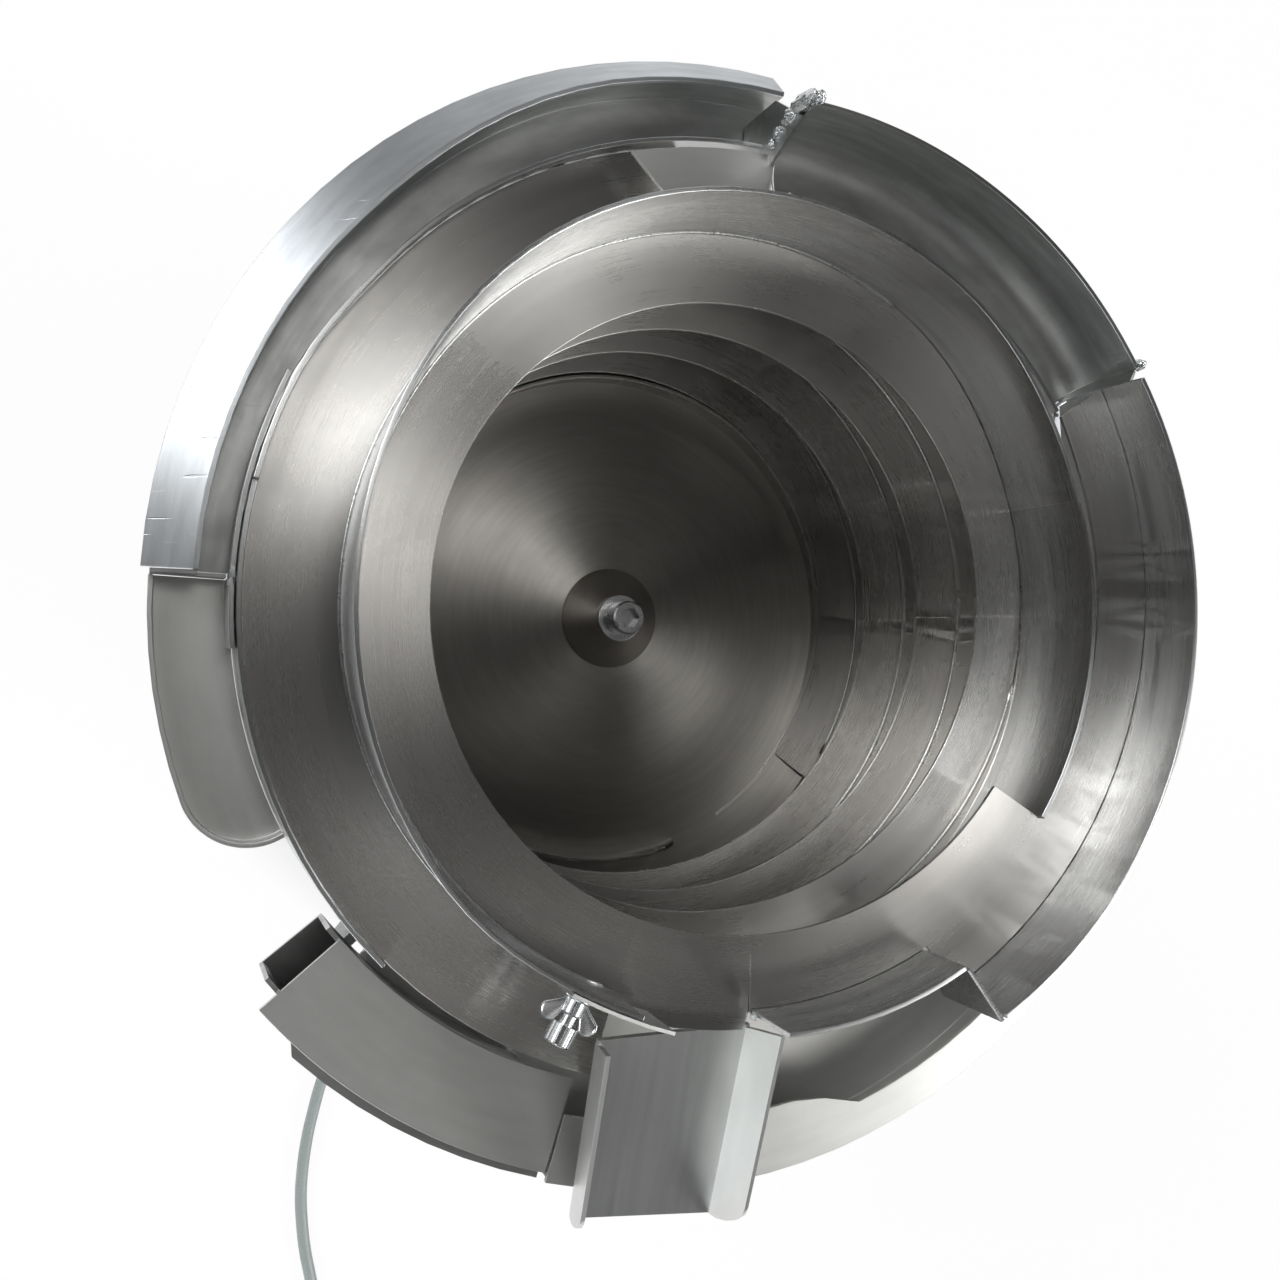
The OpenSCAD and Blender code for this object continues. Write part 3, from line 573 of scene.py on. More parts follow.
@dataclass(frozen=True)
class Coating:
    """Paint, plastic, rubber, laminate or a rough weld."""

    name: str
    colour: Colour
    second: Colour
    roughness: float = 0.5
    metallic: float = 0.0
    grain: float = 400.0
    bump: float = 0.2
    depth: float = 0.0002
    stripes: float = 0.0
    wear_scale: float = 20.0

    def material(self) -> bpy.types.Material:
        """Builds the finish.

        Returns:
            The material.
        """
        made, t = blank_material(self.name)
        place = t.add("TexCoord").outputs["Object"]
        smudge = wear(t, self.wear_scale).outputs["Smudge"]
        grain = t.noise(place, self.grain, 3.0)
        mottle = t.mix(t.ramp(grain, 0.3, 0.7), self.colour, self.second)
        colour = t.mix(t.math("MULTIPLY", smudge, 0.35), mottle, self.second)
        height = grain
        if self.stripes:
            layers = t.add("TexWave", {"Vector": place, "Scale": self.stripes, "Distortion": 0.4},
                           wave_type="BANDS", bands_direction="Z")
            height = t.math("ADD", grain, t.math("MULTIPLY", layers.outputs["Fac"], 2.0))
            colour = t.mix(t.math("MULTIPLY", layers.outputs["Fac"], 0.5), colour, self.second)
        bump = t.add("Bump", {"Height": height, "Strength": self.bump, "Distance": self.depth})
        rough = t.math("ADD", t.math("MULTIPLY", smudge, 0.12), self.roughness - 0.05)
        shader = t.add("BsdfPrincipled", {
            "Base Color": colour, "Roughness": rough, "Metallic": self.metallic, "Normal": bump.outputs[0]})
        t.add("OutputMaterial", {"Surface": shader.outputs[0]}).is_active_output = True
        return made


class Finish(Enum):
    """Every finish on the feeder."""

    FLOOR = Steel("turned floor", (0.46, 0.445, 0.42), roughness=0.30, aniso=0.97, lines=2200, sweep=3,
                  groove=0.05, banding=0.08, smudge=0.12, scratch=0.08, wear_scale=11, rise=4.0)
    DISC = Steel("turned clamp disc", (0.30, 0.28, 0.26), roughness=0.38, aniso=0.95, lines=2600, sweep=3,
                 groove=0.12, banding=0.06, smudge=0.06, scratch=0.2, wear_scale=16)
    TRACK = Steel("satin track", (0.62, 0.605, 0.585), roughness=0.26, aniso=0.94, lines=1300, sweep=2,
                  groove=0.02, banding=0.035, smudge=0.14, scratch=0.12, wear_scale=12, rise=4.0)
    WALL = Steel("brushed wall", (0.64, 0.645, 0.645), roughness=0.26, aniso=0.92, lines=1700, sweep=2,
                 groove=0.02, banding=0.08, smudge=0.10, scratch=0.10, wear_scale=15)
    FLANGE = Steel("bright flange", (0.62, 0.64, 0.66), roughness=0.34, aniso=0.80, lines=1600, sweep=9,
                   groove=0.20, banding=0.10, smudge=0.12, scratch=1.0, wear_scale=18)
    DULL = Steel("dull formed sheet", (0.50, 0.51, 0.50), roughness=0.32, aniso=0.70, lines=900, sweep=8,
                 groove=0.16, banding=0.16, smudge=0.22, scratch=0.5, wear_scale=22)
    TRAY = Steel("satin tray", (0.66, 0.66, 0.645), roughness=0.40, aniso=0.30, lines=1200, sweep=8,
                 groove=0.08, banding=0.04, smudge=0.12, scratch=0.5, wear_scale=10)
    CHUTE = Steel("satin chute", (0.72, 0.725, 0.71), roughness=0.38, aniso=0.40, lines=1500, sweep=12,
                  groove=0.10, banding=0.05, smudge=0.10, scratch=0.5, wear_scale=9, run=Run.STRAIGHT)
    ZINC = Steel("bright zinc", (0.68, 0.69, 0.70), roughness=0.22, aniso=0.0, lines=2500, sweep=40,
                 groove=0.06, banding=0.04, smudge=0.18, scratch=0.2, wear_scale=60)
    BASE = Steel("turned aluminium", (0.55, 0.56, 0.57), roughness=0.36, aniso=0.5, lines=1500, sweep=4,
                 groove=0.12, banding=0.06, smudge=0.10, scratch=0.3, wear_scale=14)
    GUSSET = Steel("plain gusset", (0.34, 0.35, 0.35), roughness=0.42, aniso=0.2, lines=900, sweep=20,
                   groove=0.14, banding=0.06, smudge=0.30, scratch=0.5, wear_scale=20)
    WELD = Coating("bright weld", (0.72, 0.74, 0.75), second=(0.52, 0.53, 0.54), roughness=0.26,
                   metallic=1.0, grain=520, bump=0.7, depth=0.0006)
    SEAM = Coating("brushed weld seam", (0.55, 0.55, 0.54), second=(0.40, 0.40, 0.39), roughness=0.28,
                   metallic=1.0, grain=700, bump=0.5, depth=0.0003)
    PAINT = Coating("black paint", (0.030, 0.030, 0.032), second=(0.045, 0.045, 0.048), roughness=0.42,
                    metallic=0.0, grain=900, bump=0.25, depth=0.0001)
    LAMINATE = Coating("glass laminate", (0.085, 0.075, 0.045), second=(0.12, 0.105, 0.06), roughness=0.46,
                       metallic=0.0, grain=500, bump=0.3, depth=0.0002)
    CORE = Coating("core sheets", (0.20, 0.20, 0.21), second=(0.13, 0.13, 0.14), roughness=0.42,
                   metallic=0.9, grain=600, bump=0.35, depth=0.0002, stripes=320.0)
    WINDING = Coating("varnished winding", (0.36, 0.13, 0.05), second=(0.22, 0.07, 0.03), roughness=0.30,
                      metallic=0.3, grain=300, bump=0.6, depth=0.0006, stripes=260.0)
    RUBBER = Coating("black rubber", (0.022, 0.022, 0.022), second=(0.034, 0.033, 0.032), roughness=0.72,
                     metallic=0.0, grain=700, bump=0.4, depth=0.0003)
    PVC = Coating("grey lead", (0.30, 0.335, 0.33), second=(0.25, 0.28, 0.275), roughness=0.38,
                  metallic=0.0, grain=900, bump=0.15, depth=0.0002)
    NYLON = Coating("black nylon", (0.035, 0.035, 0.037), second=(0.05, 0.05, 0.052), roughness=0.50,
                    metallic=0.0, grain=900, bump=0.3, depth=0.0002)

    def get(self) -> bpy.types.Material:
        """The material, built at its first use."""
        return bpy.data.materials.get(self.value.name) or self.value.material()


def dressed(obj: bpy.types.Object, finish: Finish, slot: str, *replaced: str) -> bpy.types.Object:
    """Gives a new piece its finish and its body.

    Args:
        obj: The piece.
        finish: Its finish.
        slot: Name of a material slot; not used.
        *replaced: CAD nodes that it stands for.

    Returns:
        The piece.
    """
    obj.data.materials.clear()
    obj.data.materials.append(finish.get())
    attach(obj, "root")
    if replaced:
        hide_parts(*replaced)
    log.info("%s: %s", obj.name, finish.name)
    return obj


# ------------------------------------------------------------------ studio
@dataclass(frozen=True)
class Glow:
    """A soft patch of light in the room, its place in degrees."""

    azimuth: float
    elevation: float
    tight: float
    strength: float


@dataclass(frozen=True)
class Lamp:
    """A square soft lamp aimed at the bowl, in degrees, metres and watts."""

    name: str
    azimuth: float
    elevation: float
    away: float
    size: float
    power: float
    colour: Colour = (1.0, 1.0, 1.0)
    in_gloss: bool = True


@dataclass
class Studio:
    """Pale floor, soft lamps and the camera above the bowl."""

    camera_at: Point = (-0.2441, -0.0101, 0.9354)
    forward: Point = (0.34670, -0.00263, -0.93797)
    lens: float = 37.79
    floor_half: float = 4.0
    target: Point = (0.0, 0.0, 0.35)
    glows: tuple[Glow, ...] = (
        Glow(-25.0, 32.0, 60.0, 15.0),
        Glow(78.0, 77.0, 140.0, 3.9),
        Glow(-66.0, 72.0, 60.0, 0.40),
        Glow(142.0, 32.0, 40.0, 9.0),
        Glow(236.0, 15.0, 20.0, 3.2),
        Glow(75.0, 14.0, 16.0, 1.0),
        Glow(-4.0, 12.0, 20.0, 1.6),
    )
    zenith: float = 0.02
    horizon: float = 0.07
    lamps: tuple[Lamp, ...] = (
        Lamp("key", -37.0, 50.0, 2.4, 0.9, 2.0, (1.0, 0.99, 0.97)),
        Lamp("window", 140.0, 30.0, 2.6, 1.5, 12.0, (0.92, 0.96, 1.0)),
        Lamp("fill", 200.0, 75.0, 3.0, 2.5, 48.0, in_gloss=False),
    )
    shade_r: tuple[float, float] = (0.205, 0.243)

    def camera(self) -> None:
        """Sets the camera that looks down into the bowl from its left side."""
        data = bpy.data.cameras.new("camera")
        data.lens = self.lens
        data.sensor_width = 36.0
        data.clip_start = 0.02
        data.clip_end = 40.0
        cam = bpy.data.objects.new("camera", data)
        bpy.context.collection.objects.link(cam)
        ahead = Vector(self.forward).normalized()
        right = ahead.cross(Vector((0.0, 1.0, 0.0))).normalized()
        up = right.cross(ahead)
        turn = Matrix((right, up, -ahead)).transposed().to_4x4()
        cam.matrix_world = Matrix.Translation(self.camera_at) @ turn
        bpy.context.scene.camera = cam

    def floor(self) -> None:
        """A pale floor, near white in view, with the shadow kept close round the feeder."""
        deselect()
        bpy.ops.mesh.primitive_plane_add(size=2 * self.floor_half)
        plane = bpy.context.object
        plane.name = "floor"
        made, t = blank_material("pale floor")
        matt = t.add("BsdfDiffuse", {"Color": (0.86, 0.86, 0.86, 1.0)})
        glow = t.add("Emission", {"Color": (1.0, 1.0, 1.0, 1.0), "Strength": 1.0})
        path = t.add("LightPath")
        seen = t.math("MAXIMUM", path.outputs["Is Camera Ray"], path.outputs["Is Glossy Ray"])
        place = t.add("TexCoord").outputs["Object"]
        away = t.add("VectorMath", {0: place}, operation="LENGTH").outputs["Value"]
        open_floor = t.ramp(away, *self.shade_r, 0.0, 0.93)
        share = t.math("MULTIPLY", t.math("MAXIMUM", seen, path.outputs["Is Transmission Ray"]), open_floor)
        both = t.add("MixShader", {0: share, 1: matt.outputs[0], 2: glow.outputs[0]})
        t.add("OutputMaterial", {"Surface": both.outputs[0]}).is_active_output = True
        plane.data.materials.append(made)

    def world(self) -> None:
        """A dim room with soft glows, white where the camera looks past the floor."""
        world = bpy.data.worlds.new("room")
        world.use_nodes = True
        world.node_tree.nodes.clear()
        t = Tree(world.node_tree)
        way = t.add("TexCoord").outputs["Generated"]
        rise = t.add("SeparateXYZ", {0: way}).outputs[2]
        level = t.ramp(rise, 0.0, 0.8, self.horizon, self.zenith)
        for glow in self.glows:
            middle = tuple(self.aim(glow.azimuth, glow.elevation))
            lobe = t.add("VectorMath", {0: way, 1: middle}, operation="DOT_PRODUCT")
            near = t.math("POWER", t.math("MAXIMUM", lobe.outputs["Value"], 0.0), glow.tight)
            level = t.math("ADD", level, t.math("MULTIPLY", near, glow.strength))
        tint = t.mix(t.ramp(rise, 0.0, 0.7), (0.91, 0.96, 1.0), (1.0, 0.99, 0.97))
        room = t.add("Background", {"Color": tint, "Strength": level})
        white = t.add("Background", {"Color": (1.0, 1.0, 1.0, 1.0), "Strength": 1.0})
        path = t.add("LightPath")
        both = t.add("MixShader", {0: path.outputs["Is Camera Ray"], 1: room.outputs[0], 2: white.outputs[0]})
        t.add("OutputWorld", {"Surface": both.outputs[0]}).is_active_output = True
        bpy.context.scene.world = world

    @staticmethod
    def aim(azimuth: float, elevation: float) -> Vector:
        """The direction at an azimuth and elevation in degrees."""
        a, e = math.radians(azimuth), math.radians(elevation)
        return Vector((math.cos(e) * math.cos(a), math.cos(e) * math.sin(a), math.sin(e)))

    def light(self, lamp: Lamp) -> bpy.types.Object:
        """Adds a lamp.

        Args:
            lamp: The lamp's place, size, power and colour.

        Returns:
            Its object.
        """
        data = bpy.data.lights.new(lamp.name, "AREA")
        data.size = lamp.size
        data.energy = lamp.power
        data.color = lamp.colour
        obj = bpy.data.objects.new(lamp.name, data)
        bpy.context.collection.objects.link(obj)
        way = self.aim(lamp.azimuth, lamp.elevation)
        at = Vector(self.target) + way * lamp.away
        obj.matrix_world = Matrix.Translation(at) @ (-way).to_track_quat("-Z", "Y").to_matrix().to_4x4()
        obj.visible_glossy = lamp.in_gloss
        return obj

    def build(self) -> None:
        """Adds floor, world and lamps."""
        self.floor()
        self.world()
        for lamp in self.lamps:
            self.light(lamp)
        bpy.context.scene.view_settings.view_transform = "Standard"


# ------------------------------------------------------------------ lead
@dataclass
class Lead:
    """The lead from its gland to the connector, with the unseen length coiled, in mm and degrees.

    The coil runs between keys of angle, radius and height.
    """

    diameter: float = 8.0
    route: tuple[Point, ...] = (
        (-76, -188, 33.5), (-84.5, -208, 28), (-93, -227, 20), (-101.5, -246, 12), (-110, -265, 6.5),
        (-118, -283, 4.6), (-125, -298, 4.2), (-130.6, -312, 4.2), (-136.2, -331.5, 4.2), (-140.6, -351, 4.2),
        (-143.4, -371, 4.2), (-144.5, -388, 4.2), (-143.9, -405, 4.2), (-141.8, -425.5, 4.2),
        (-138.2, -445, 4.2), (-135.2, -463, 4.2), (-133.6, -481, 4.2), (-133.2, -499, 4.2),
        (-133.8, -515, 4.2))
    tail: tuple[Point, ...] = (
        (-21, -544, 4.2), (-9, -532, 4.2), (7, -524, 4.2), (25, -521, 5), (43, -522, 7), (58, -524, 9))
    coil_at: tuple[float, float] = (-78.0, -525.6)
    coil_keys: tuple[tuple[float, float, float], ...] = (
        (180, 56.4, 4.2), (240, 48, 4.2), (540, 48, 4.2), (600, 40, 4.2), (840, 40, 4.2), (900, 40, 12.2),
        (1140, 40, 12.2), (1200, 48, 12.2), (1338, 48, 12.2), (1378, 56.4, 12.2), (1410, 56.4, 4.3))
    coil_step: float = 15.0
    exit_r: float = 183.0
    exit_angle: float = 248.0
    exit_z: float = 34.5
    tie_at: Point = (35.0, 44.0, 14.0)
    tie_r: float = 13.2
    tie_wire: float = 0.75
    tie_stretch: Point = (0.98, 0.98, 3.2)
    rib_count: int = 6
    rib_r: float = 7.5
    rib_wire: float = 1.0
    rib_taper: float = 0.36
    rib_foot: float = 156.0
    rib_step: float = 4.2
    knurl_r: float = 8.95
    knurl_len: float = 9.0
    knurl_sides: int = 60
    knurl_foot: float = 24.0
    plug_angle: float = -8.0

    def coil_point(self, angle: float, radius: float, z: float) -> Point:
        """A point at an angle, radius and height round the coil's axis, in millimetres."""
        a = math.radians(angle)
        return self.coil_at[0] + radius * math.cos(a), self.coil_at[1] + radius * math.sin(a), z

    def coil(self) -> list[Point]:
        """Points of the coil, turns side by side and one on another.

        Returns:
            The points, in millimetres.
        """
        made = []
        for (a0, r0, z0), (a1, r1, z1) in zip(self.coil_keys, self.coil_keys[1:]):
            count = max(1, round((a1 - a0) / self.coil_step))
            for i in range(count):
                t = i / count
                ease = t * t * (3 - 2 * t)
                made.append(self.coil_point(
                    a0 + (a1 - a0) * t, r0 + (r1 - r0) * ease, z0 + (z1 - z0) * ease))
        made.append(self.coil_point(*self.coil_keys[-1]))
        return made

    def build(self) -> None:
        """Makes the lead, its tie, its gland's ribs and its connector."""
        start = polar(self.exit_r, self.exit_angle, self.exit_z)
        points = [start] + [mm(*p) for p in (*self.route, *self.coil(), *self.tail)]
        data = bpy.data.curves.new("lead_line", "CURVE")
        data.dimensions = "3D"
        data.resolution_u = 6
        data.bevel_depth = self.diameter / 2 * MM
        data.bevel_resolution = 5
        data.use_fill_caps = True
        line = data.splines.new("BEZIER")
        line.bezier_points.add(len(points) - 1)
        for knot, at in zip(line.bezier_points, points):
            knot.co = at
            knot.handle_left_type = knot.handle_right_type = "AUTO"
        piece = bpy.data.objects.new("lead_line", data)
        bpy.context.collection.objects.link(piece)
        bpy.context.view_layer.update()
        dressed(piece, Finish.PVC, "pvc", "lead", "lead_coil", "lead_tail")
        tie = self.tie()
        collar = self.gland_ribs()
        shell = self.connector()

    def tie(self) -> bpy.types.Object:
        """A flat strap round the coil's bundle.

        Returns:
            The strap.
        """
        deselect()
        bpy.ops.mesh.primitive_torus_add(major_segments=36, minor_segments=8,
                                         major_radius=self.tie_r * MM, minor_radius=self.tie_wire * MM)
        strap = bpy.context.object
        strap.scale = self.tie_stretch
        settle(strap)
        angle = math.radians(self.tie_at[0])
        here = Vector(mm(*self.coil_point(*self.tie_at)))
        settle(strap, along(here, Vector((-math.sin(angle), math.cos(angle), 0.0))))
        strap.name = "coil_tie"
        return dressed(smooth(strap), Finish.NYLON, "gland")

    def gland_ribs(self) -> bpy.types.Object:
        """Rings moulded round the strain relief, each smaller than the last.

        Returns:
            The rings, joined.
        """
        angle = math.radians(self.exit_angle)
        aim = Vector((math.cos(angle), math.sin(angle), 0.0))
        rings = []
        for i in range(self.rib_count):
            deselect()
            bpy.ops.mesh.primitive_torus_add(
                major_segments=32, minor_segments=10,
                major_radius=(self.rib_r - self.rib_taper * i) * MM, minor_radius=self.rib_wire * MM)
            ring = bpy.context.object
            at = polar(self.rib_foot + self.rib_step * i, self.exit_angle, self.exit_z)
            settle(ring, along(at, aim))
            rings.append(ring)
        return dressed(smooth(join("gland_ribs", rings)), Finish.NYLON, "gland")

    def connector(self) -> bpy.types.Object:
        """Knurled ring on the round connector.

        Returns:
            The ring.
        """
        ring = cylinder(self.knurl_r, self.knurl_len, 0.0, self.knurl_sides)
        select_faces(ring, lambda p: abs(p.normal.z) < 0.5 and p.index % 2 == 0)
        bpy.ops.mesh.inset(thickness=0.1 * MM)
        bpy.ops.transform.resize(value=(0.955, 0.955, 1.0), center_override=(0, 0, self.knurl_len / 2 * MM))
        deselect()
        end = Vector(mm(*self.tail[-1]))
        angle = math.radians(self.plug_angle)
        aim = Vector((math.cos(angle), math.sin(angle), 0.0))
        settle(ring, along(tuple(end + aim * self.knurl_foot * MM), aim))
        ring.name = "connector_ring"
        return dressed(smooth(ring, 20), Finish.ZINC, "plug_metal")


# ------------------------------------------------------------------ sheets
@dataclass
class SheetDress:
    """Finish and softened edges for every CAD node that shows as it is."""

    finishes: dict[Finish, tuple[str, ...]] = field(default_factory=lambda: {
        Finish.FLOOR: ("bowl_floor",),
        Finish.DISC: ("clamp_disc",),
        Finish.TRACK: ("track_1", "track_2", "track_3", "top_track", "sorting_band", "bowl_shell",
                       "start_riser"),
        Finish.WALL: ("upper_wall", "rim_wall", "outlet_wall", "lane_wall", "band_lip", "band_skirt",
                      "lane_end_plate"),
        Finish.FLANGE: ("flange", "pipe_tab"),
        Finish.DULL: ("half_pipe", "gutter", "guard_strip", "return_box"),
        Finish.TRAY: ("left_tray", "catch_plate", "pan", "drop_plate"),
        Finish.CHUTE: ("chute", "gate_plate"),
        Finish.ZINC: ("flat_washer", "centre_bolt", "gate_stud", "lead_plug"),
        Finish.BASE: ("bowl_base",),
        Finish.GUSSET: ("pan_gussets", "box_gussets", "band_gussets", "pipe_gussets"),
        Finish.PAINT: ("top_plate", "base_plate", "magnet_stand", "clamp_plates"),
        Finish.LAMINATE: ("spring_pack_1", "spring_pack_2", "spring_pack_3"),
        Finish.CORE: ("armature", "magnet_core"),
        Finish.WINDING: ("coil",),
        Finish.RUBBER: ("feet",),
        Finish.NYLON: ("lead_gland",),
    })
    edge: float = 0.35
    wide_edges: dict[str, float] = field(default_factory=lambda: {
        "top_plate": 1.0, "base_plate": 1.0, "feet": 1.5, "bowl_base": 0.8, "coil": 2.5, "centre_bolt": 0.6,
        "flat_washer": 0.4, "clamp_plates": 0.8, "clamp_disc": 0.3, "gate_stud": 0.4, "lead_gland": 0.5,
        "lead_plug": 0.5, "magnet_stand": 1.0})
    crisp: float = 32.0
    merge: float = 0.00001
    flat_weight: int = 80

    def build(self, nodes: dict[str, bpy.types.Object]) -> None:
        """Dresses the nodes.

        Args:
            nodes: The CAD nodes by name.
        """
        for finish, names in self.finishes.items():
            for name in names:
                self.dress(nodes[name], finish)

    def dress(self, node: bpy.types.Object, finish: Finish) -> None:
        """Sets a node's finish and adds modifiers that soften its edges.

        Args:
            node: The CAD node.
            finish: Its finish.
        """
        node.data.materials.clear()
        node.data.materials.append(finish.get())
        node.data.polygons.foreach_set("use_smooth", [True] * len(node.data.polygons))
        weld = node.modifiers.new("weld", "WELD")
        weld.merge_threshold = self.merge
        bevel = node.modifiers.new("edges", "BEVEL")
        bevel.width = self.wide_edges.get(node.name, self.edge) * MM
        bevel.segments = 2
        bevel.limit_method = "ANGLE"
        bevel.angle_limit = math.radians(self.crisp)
        bevel.use_clamp_overlap = True
        even = node.modifiers.new("normals", "WEIGHTED_NORMAL")
        even.keep_sharp = True
        even.weight = self.flat_weight
        log.info("%s: %s", node.name, finish.name)


# ------------------------------------------------------------------ welds
@dataclass(frozen=True)
class Seam:
    """A bead round the axis, in mm and degrees from the track's start.

    It climbs with the track unless it is given a height of its own.
    """

    name: str
    radius: float
    start: float
    end: float
    level: float | None = None


@dataclass(frozen=True)
class Lump:
    """A lump of weld: its place in mm and degrees, and its half sizes in mm."""

    radius: float
    angle: float
    z: float
    size: Point


@dataclass
class WeldSeams:
    """Beads along the seams, lumps where sheets were tacked, and small sheets welded in between.

    The corners of a cheek are radius and height, lower inner first, going round.
    """

    bead: float = 0.9
    bead_step: float = 3.0
    sheet: float = 1.5
    seams: tuple[Seam, ...] = (
        Seam("seam_track", BOWL_R - 0.4, -30.0, 1068.0),
        Seam("seam_top", 167.7, 1139.0, 1326.0),
        Seam("seam_lane", 191.8, 1020.0, 1111.0),
        Seam("seam_band", 170.5, 106.0, 251.0, CROWN + 163.2),
    )
    lumps: tuple[Lump, ...] = (
        Lump(212.0, 86.4, 435.0, (3.6, 3.4, 12.0)),
        Lump(210.0, 86.5, 424.0, (3.2, 2.8, 6.0)),
        Lump(211.5, 85.7, 442.0, (2.8, 3.0, 6.0)),
        Lump(207.0, 86.6, 413.0, (2.4, 1.8, 4.0)),
        Lump(203.5, 86.7, 408.5, (2.4, 1.5, 2.0)),
        Lump(212.0, 32.2, 441.0, (2.6, 2.6, 5.0)),
        Lump(176.0, 86.2, 424.0, (1.6, 1.8, 3.0)),
        Lump(169.8, 268.6, 424.0, (1.2, 1.4, 1.8)),
    )
    lump_rough: float = 1.1
    first_seed: int = 11
    pipe_r: float = 16.0
    pipe_c: float = 192.0
    pipe_z: float = 422.0
    lane_end: float = 32.0
    pipe_end: float = 86.0
    tray_at: float = 176.24
    ramp_turn: float = 13.0
    ramp_run: float = 42.0
    ramp_spread: float = 1.12
    ramp_lift: float = 0.3
    lane_cheek: Corners = ((192.5, 404.0), (209.5, 404.0), (209.5, 441.0), (192.5, 455.0))
    gutter_cheek: Corners = ((186.0, 376.0), (223.0, 376.0), (223.0, 408.0), (206.0, 436.0))
    tray_end: Corners = ((213.6, 357.3), (224.9, 357.3), (224.9, 374.5), (213.6, 374.5))
    flange_end: Corners = ((225.0, 357.3), (242.4, 357.3), (242.4, 382.0), (225.0, 393.5))

    def seam(self, seam: Seam) -> bpy.types.Object:
        """Makes a bead round the axis.

        Args:
            seam: Its name, place and length.

        Returns:
            The bead.
        """
        foot = track_z(seam.start) if seam.level is None else seam.level
        rise = PITCH if seam.level is None else 0.0
        deselect()
        bpy.ops.mesh.primitive_circle_add(
            vertices=8, radius=self.bead * MM, location=mm(seam.radius, 0, 0), rotation=(math.pi / 2, 0, 0))
        ring = settle(bpy.context.object)
        span = seam.end - seam.start
        steps = max(4, round(span / self.bead_step))
        modify(ring, "SCREW", axis="Z", angle=math.radians(span), screw_offset=rise * span / 360 * MM,
               steps=steps, render_steps=steps, use_smooth_shade=True)
        settle(ring, Matrix.Translation(mm(0, 0, foot)) @ Matrix.Rotation(math.radians(seam.start), 4, "Z"))
        ring.name = seam.name
        return outwards(ring)

    def build(self) -> None:
        """Makes all seams, cheeks and lumps."""
        for seam in self.seams:
            dressed(self.seam(seam), Finish.SEAM, "sheet")
        self.trough_seam()
        self.trough_ramp()
        self.cheek("lane_cheek", self.lane_end - 0.25, self.lane_cheek)
        self.cheek("gutter_cheek", self.pipe_end + 0.3, self.gutter_cheek)
        self.cheek("tray_end", self.tray_at, self.tray_end)
        self.cheek("flange_end", self.tray_at, self.flange_end)
        self.blobs()

    def trough_seam(self) -> None:
        """A bead round the half-pipe's section, where it is welded to the lane's trough."""
        deselect()
        bpy.ops.mesh.primitive_circle_add(vertices=10, radius=self.bead * MM, location=mm(self.pipe_r, 0, 0))
        ring = settle(bpy.context.object)
        modify(ring, "SCREW", axis="Y", angle=math.pi, steps=40, render_steps=40, use_smooth_shade=True)
        ring.name = "seam_trough"
        outwards(ring)
        turn = Matrix.Rotation(math.radians(self.lane_end - 0.6), 4, "Z")
        settle(ring, turn @ Matrix.Translation(mm(self.pipe_c, 0, self.pipe_z)))
        dressed(ring, Finish.WELD, "bright_sheet")

    def trough_ramp(self) -> None:
        """Sheet that leads from the lane's floor up into the half-pipe."""
        deselect()
        bpy.ops.mesh.primitive_circle_add(vertices=48, radius=self.pipe_r * MM, rotation=(math.pi / 2, 0, 0))
        ramp = settle(bpy.context.object)
        select_points(ramp, lambda co: co.x > 0.2 * MM or co.z > 0.2 * MM)
        bpy.ops.mesh.delete(type="VERT")
        bpy.ops.mesh.select_all(action="SELECT")
        foot = track_z(3 * 360 + self.lane_end - self.ramp_turn) - self.pipe_z + self.ramp_lift
        bpy.ops.mesh.extrude_region_move(TRANSFORM_OT_translate={"value": mm(0, -self.ramp_run, 0)})
        bpy.ops.transform.resize(value=(self.ramp_spread, 1, 0), center_override=mm(0, -self.ramp_run, 0))
        bpy.ops.transform.translate(value=mm(0, 0, foot))
        deselect()
        modify(ramp, "SOLIDIFY", thickness=self.sheet * MM, offset=0.0)
        turn = Matrix.Rotation(math.radians(self.lane_end), 4, "Z")
        settle(ramp, turn @ Matrix.Translation(mm(self.pipe_c, 0, self.pipe_z)))
        ramp.name = "trough_ramp"
        dressed(smooth(outwards(ramp)), Finish.WALL, "sheet")

    def cheek(self, name: str, angle: float, corners: Corners) -> bpy.types.Object:
        """A flat sheet standing on a radius, welded in where other sheets end.

        Args:
            name: The piece's name.
            angle: Where it stands, degrees.
            corners: Radius and height of its four corners in mm, lower inner first, going round.

        Returns:
            The sheet.
        """
        deselect()
        bpy.ops.mesh.primitive_plane_add(size=2.0, rotation=(math.pi / 2, 0, 0))
        sheet = settle(bpy.context.object)
        for (sx, sz), (radius, z) in zip(((-1, -1), (1, -1), (1, 1), (-1, 1)), corners):
            corner = Vector((sx, 0.0, sz))
            select_points(sheet, lambda co, corner=corner: (co - corner).length < 0.01)
            bpy.ops.transform.translate(value=(radius * MM - sx, 0, z * MM - sz))
            deselect()
        modify(sheet, "SOLIDIFY", thickness=self.sheet * MM, offset=0.0)
        settle(sheet, Matrix.Rotation(math.radians(angle), 4, "Z"))
        sheet.name = name
        return dressed(outwards(sheet), Finish.DULL, "sheet")

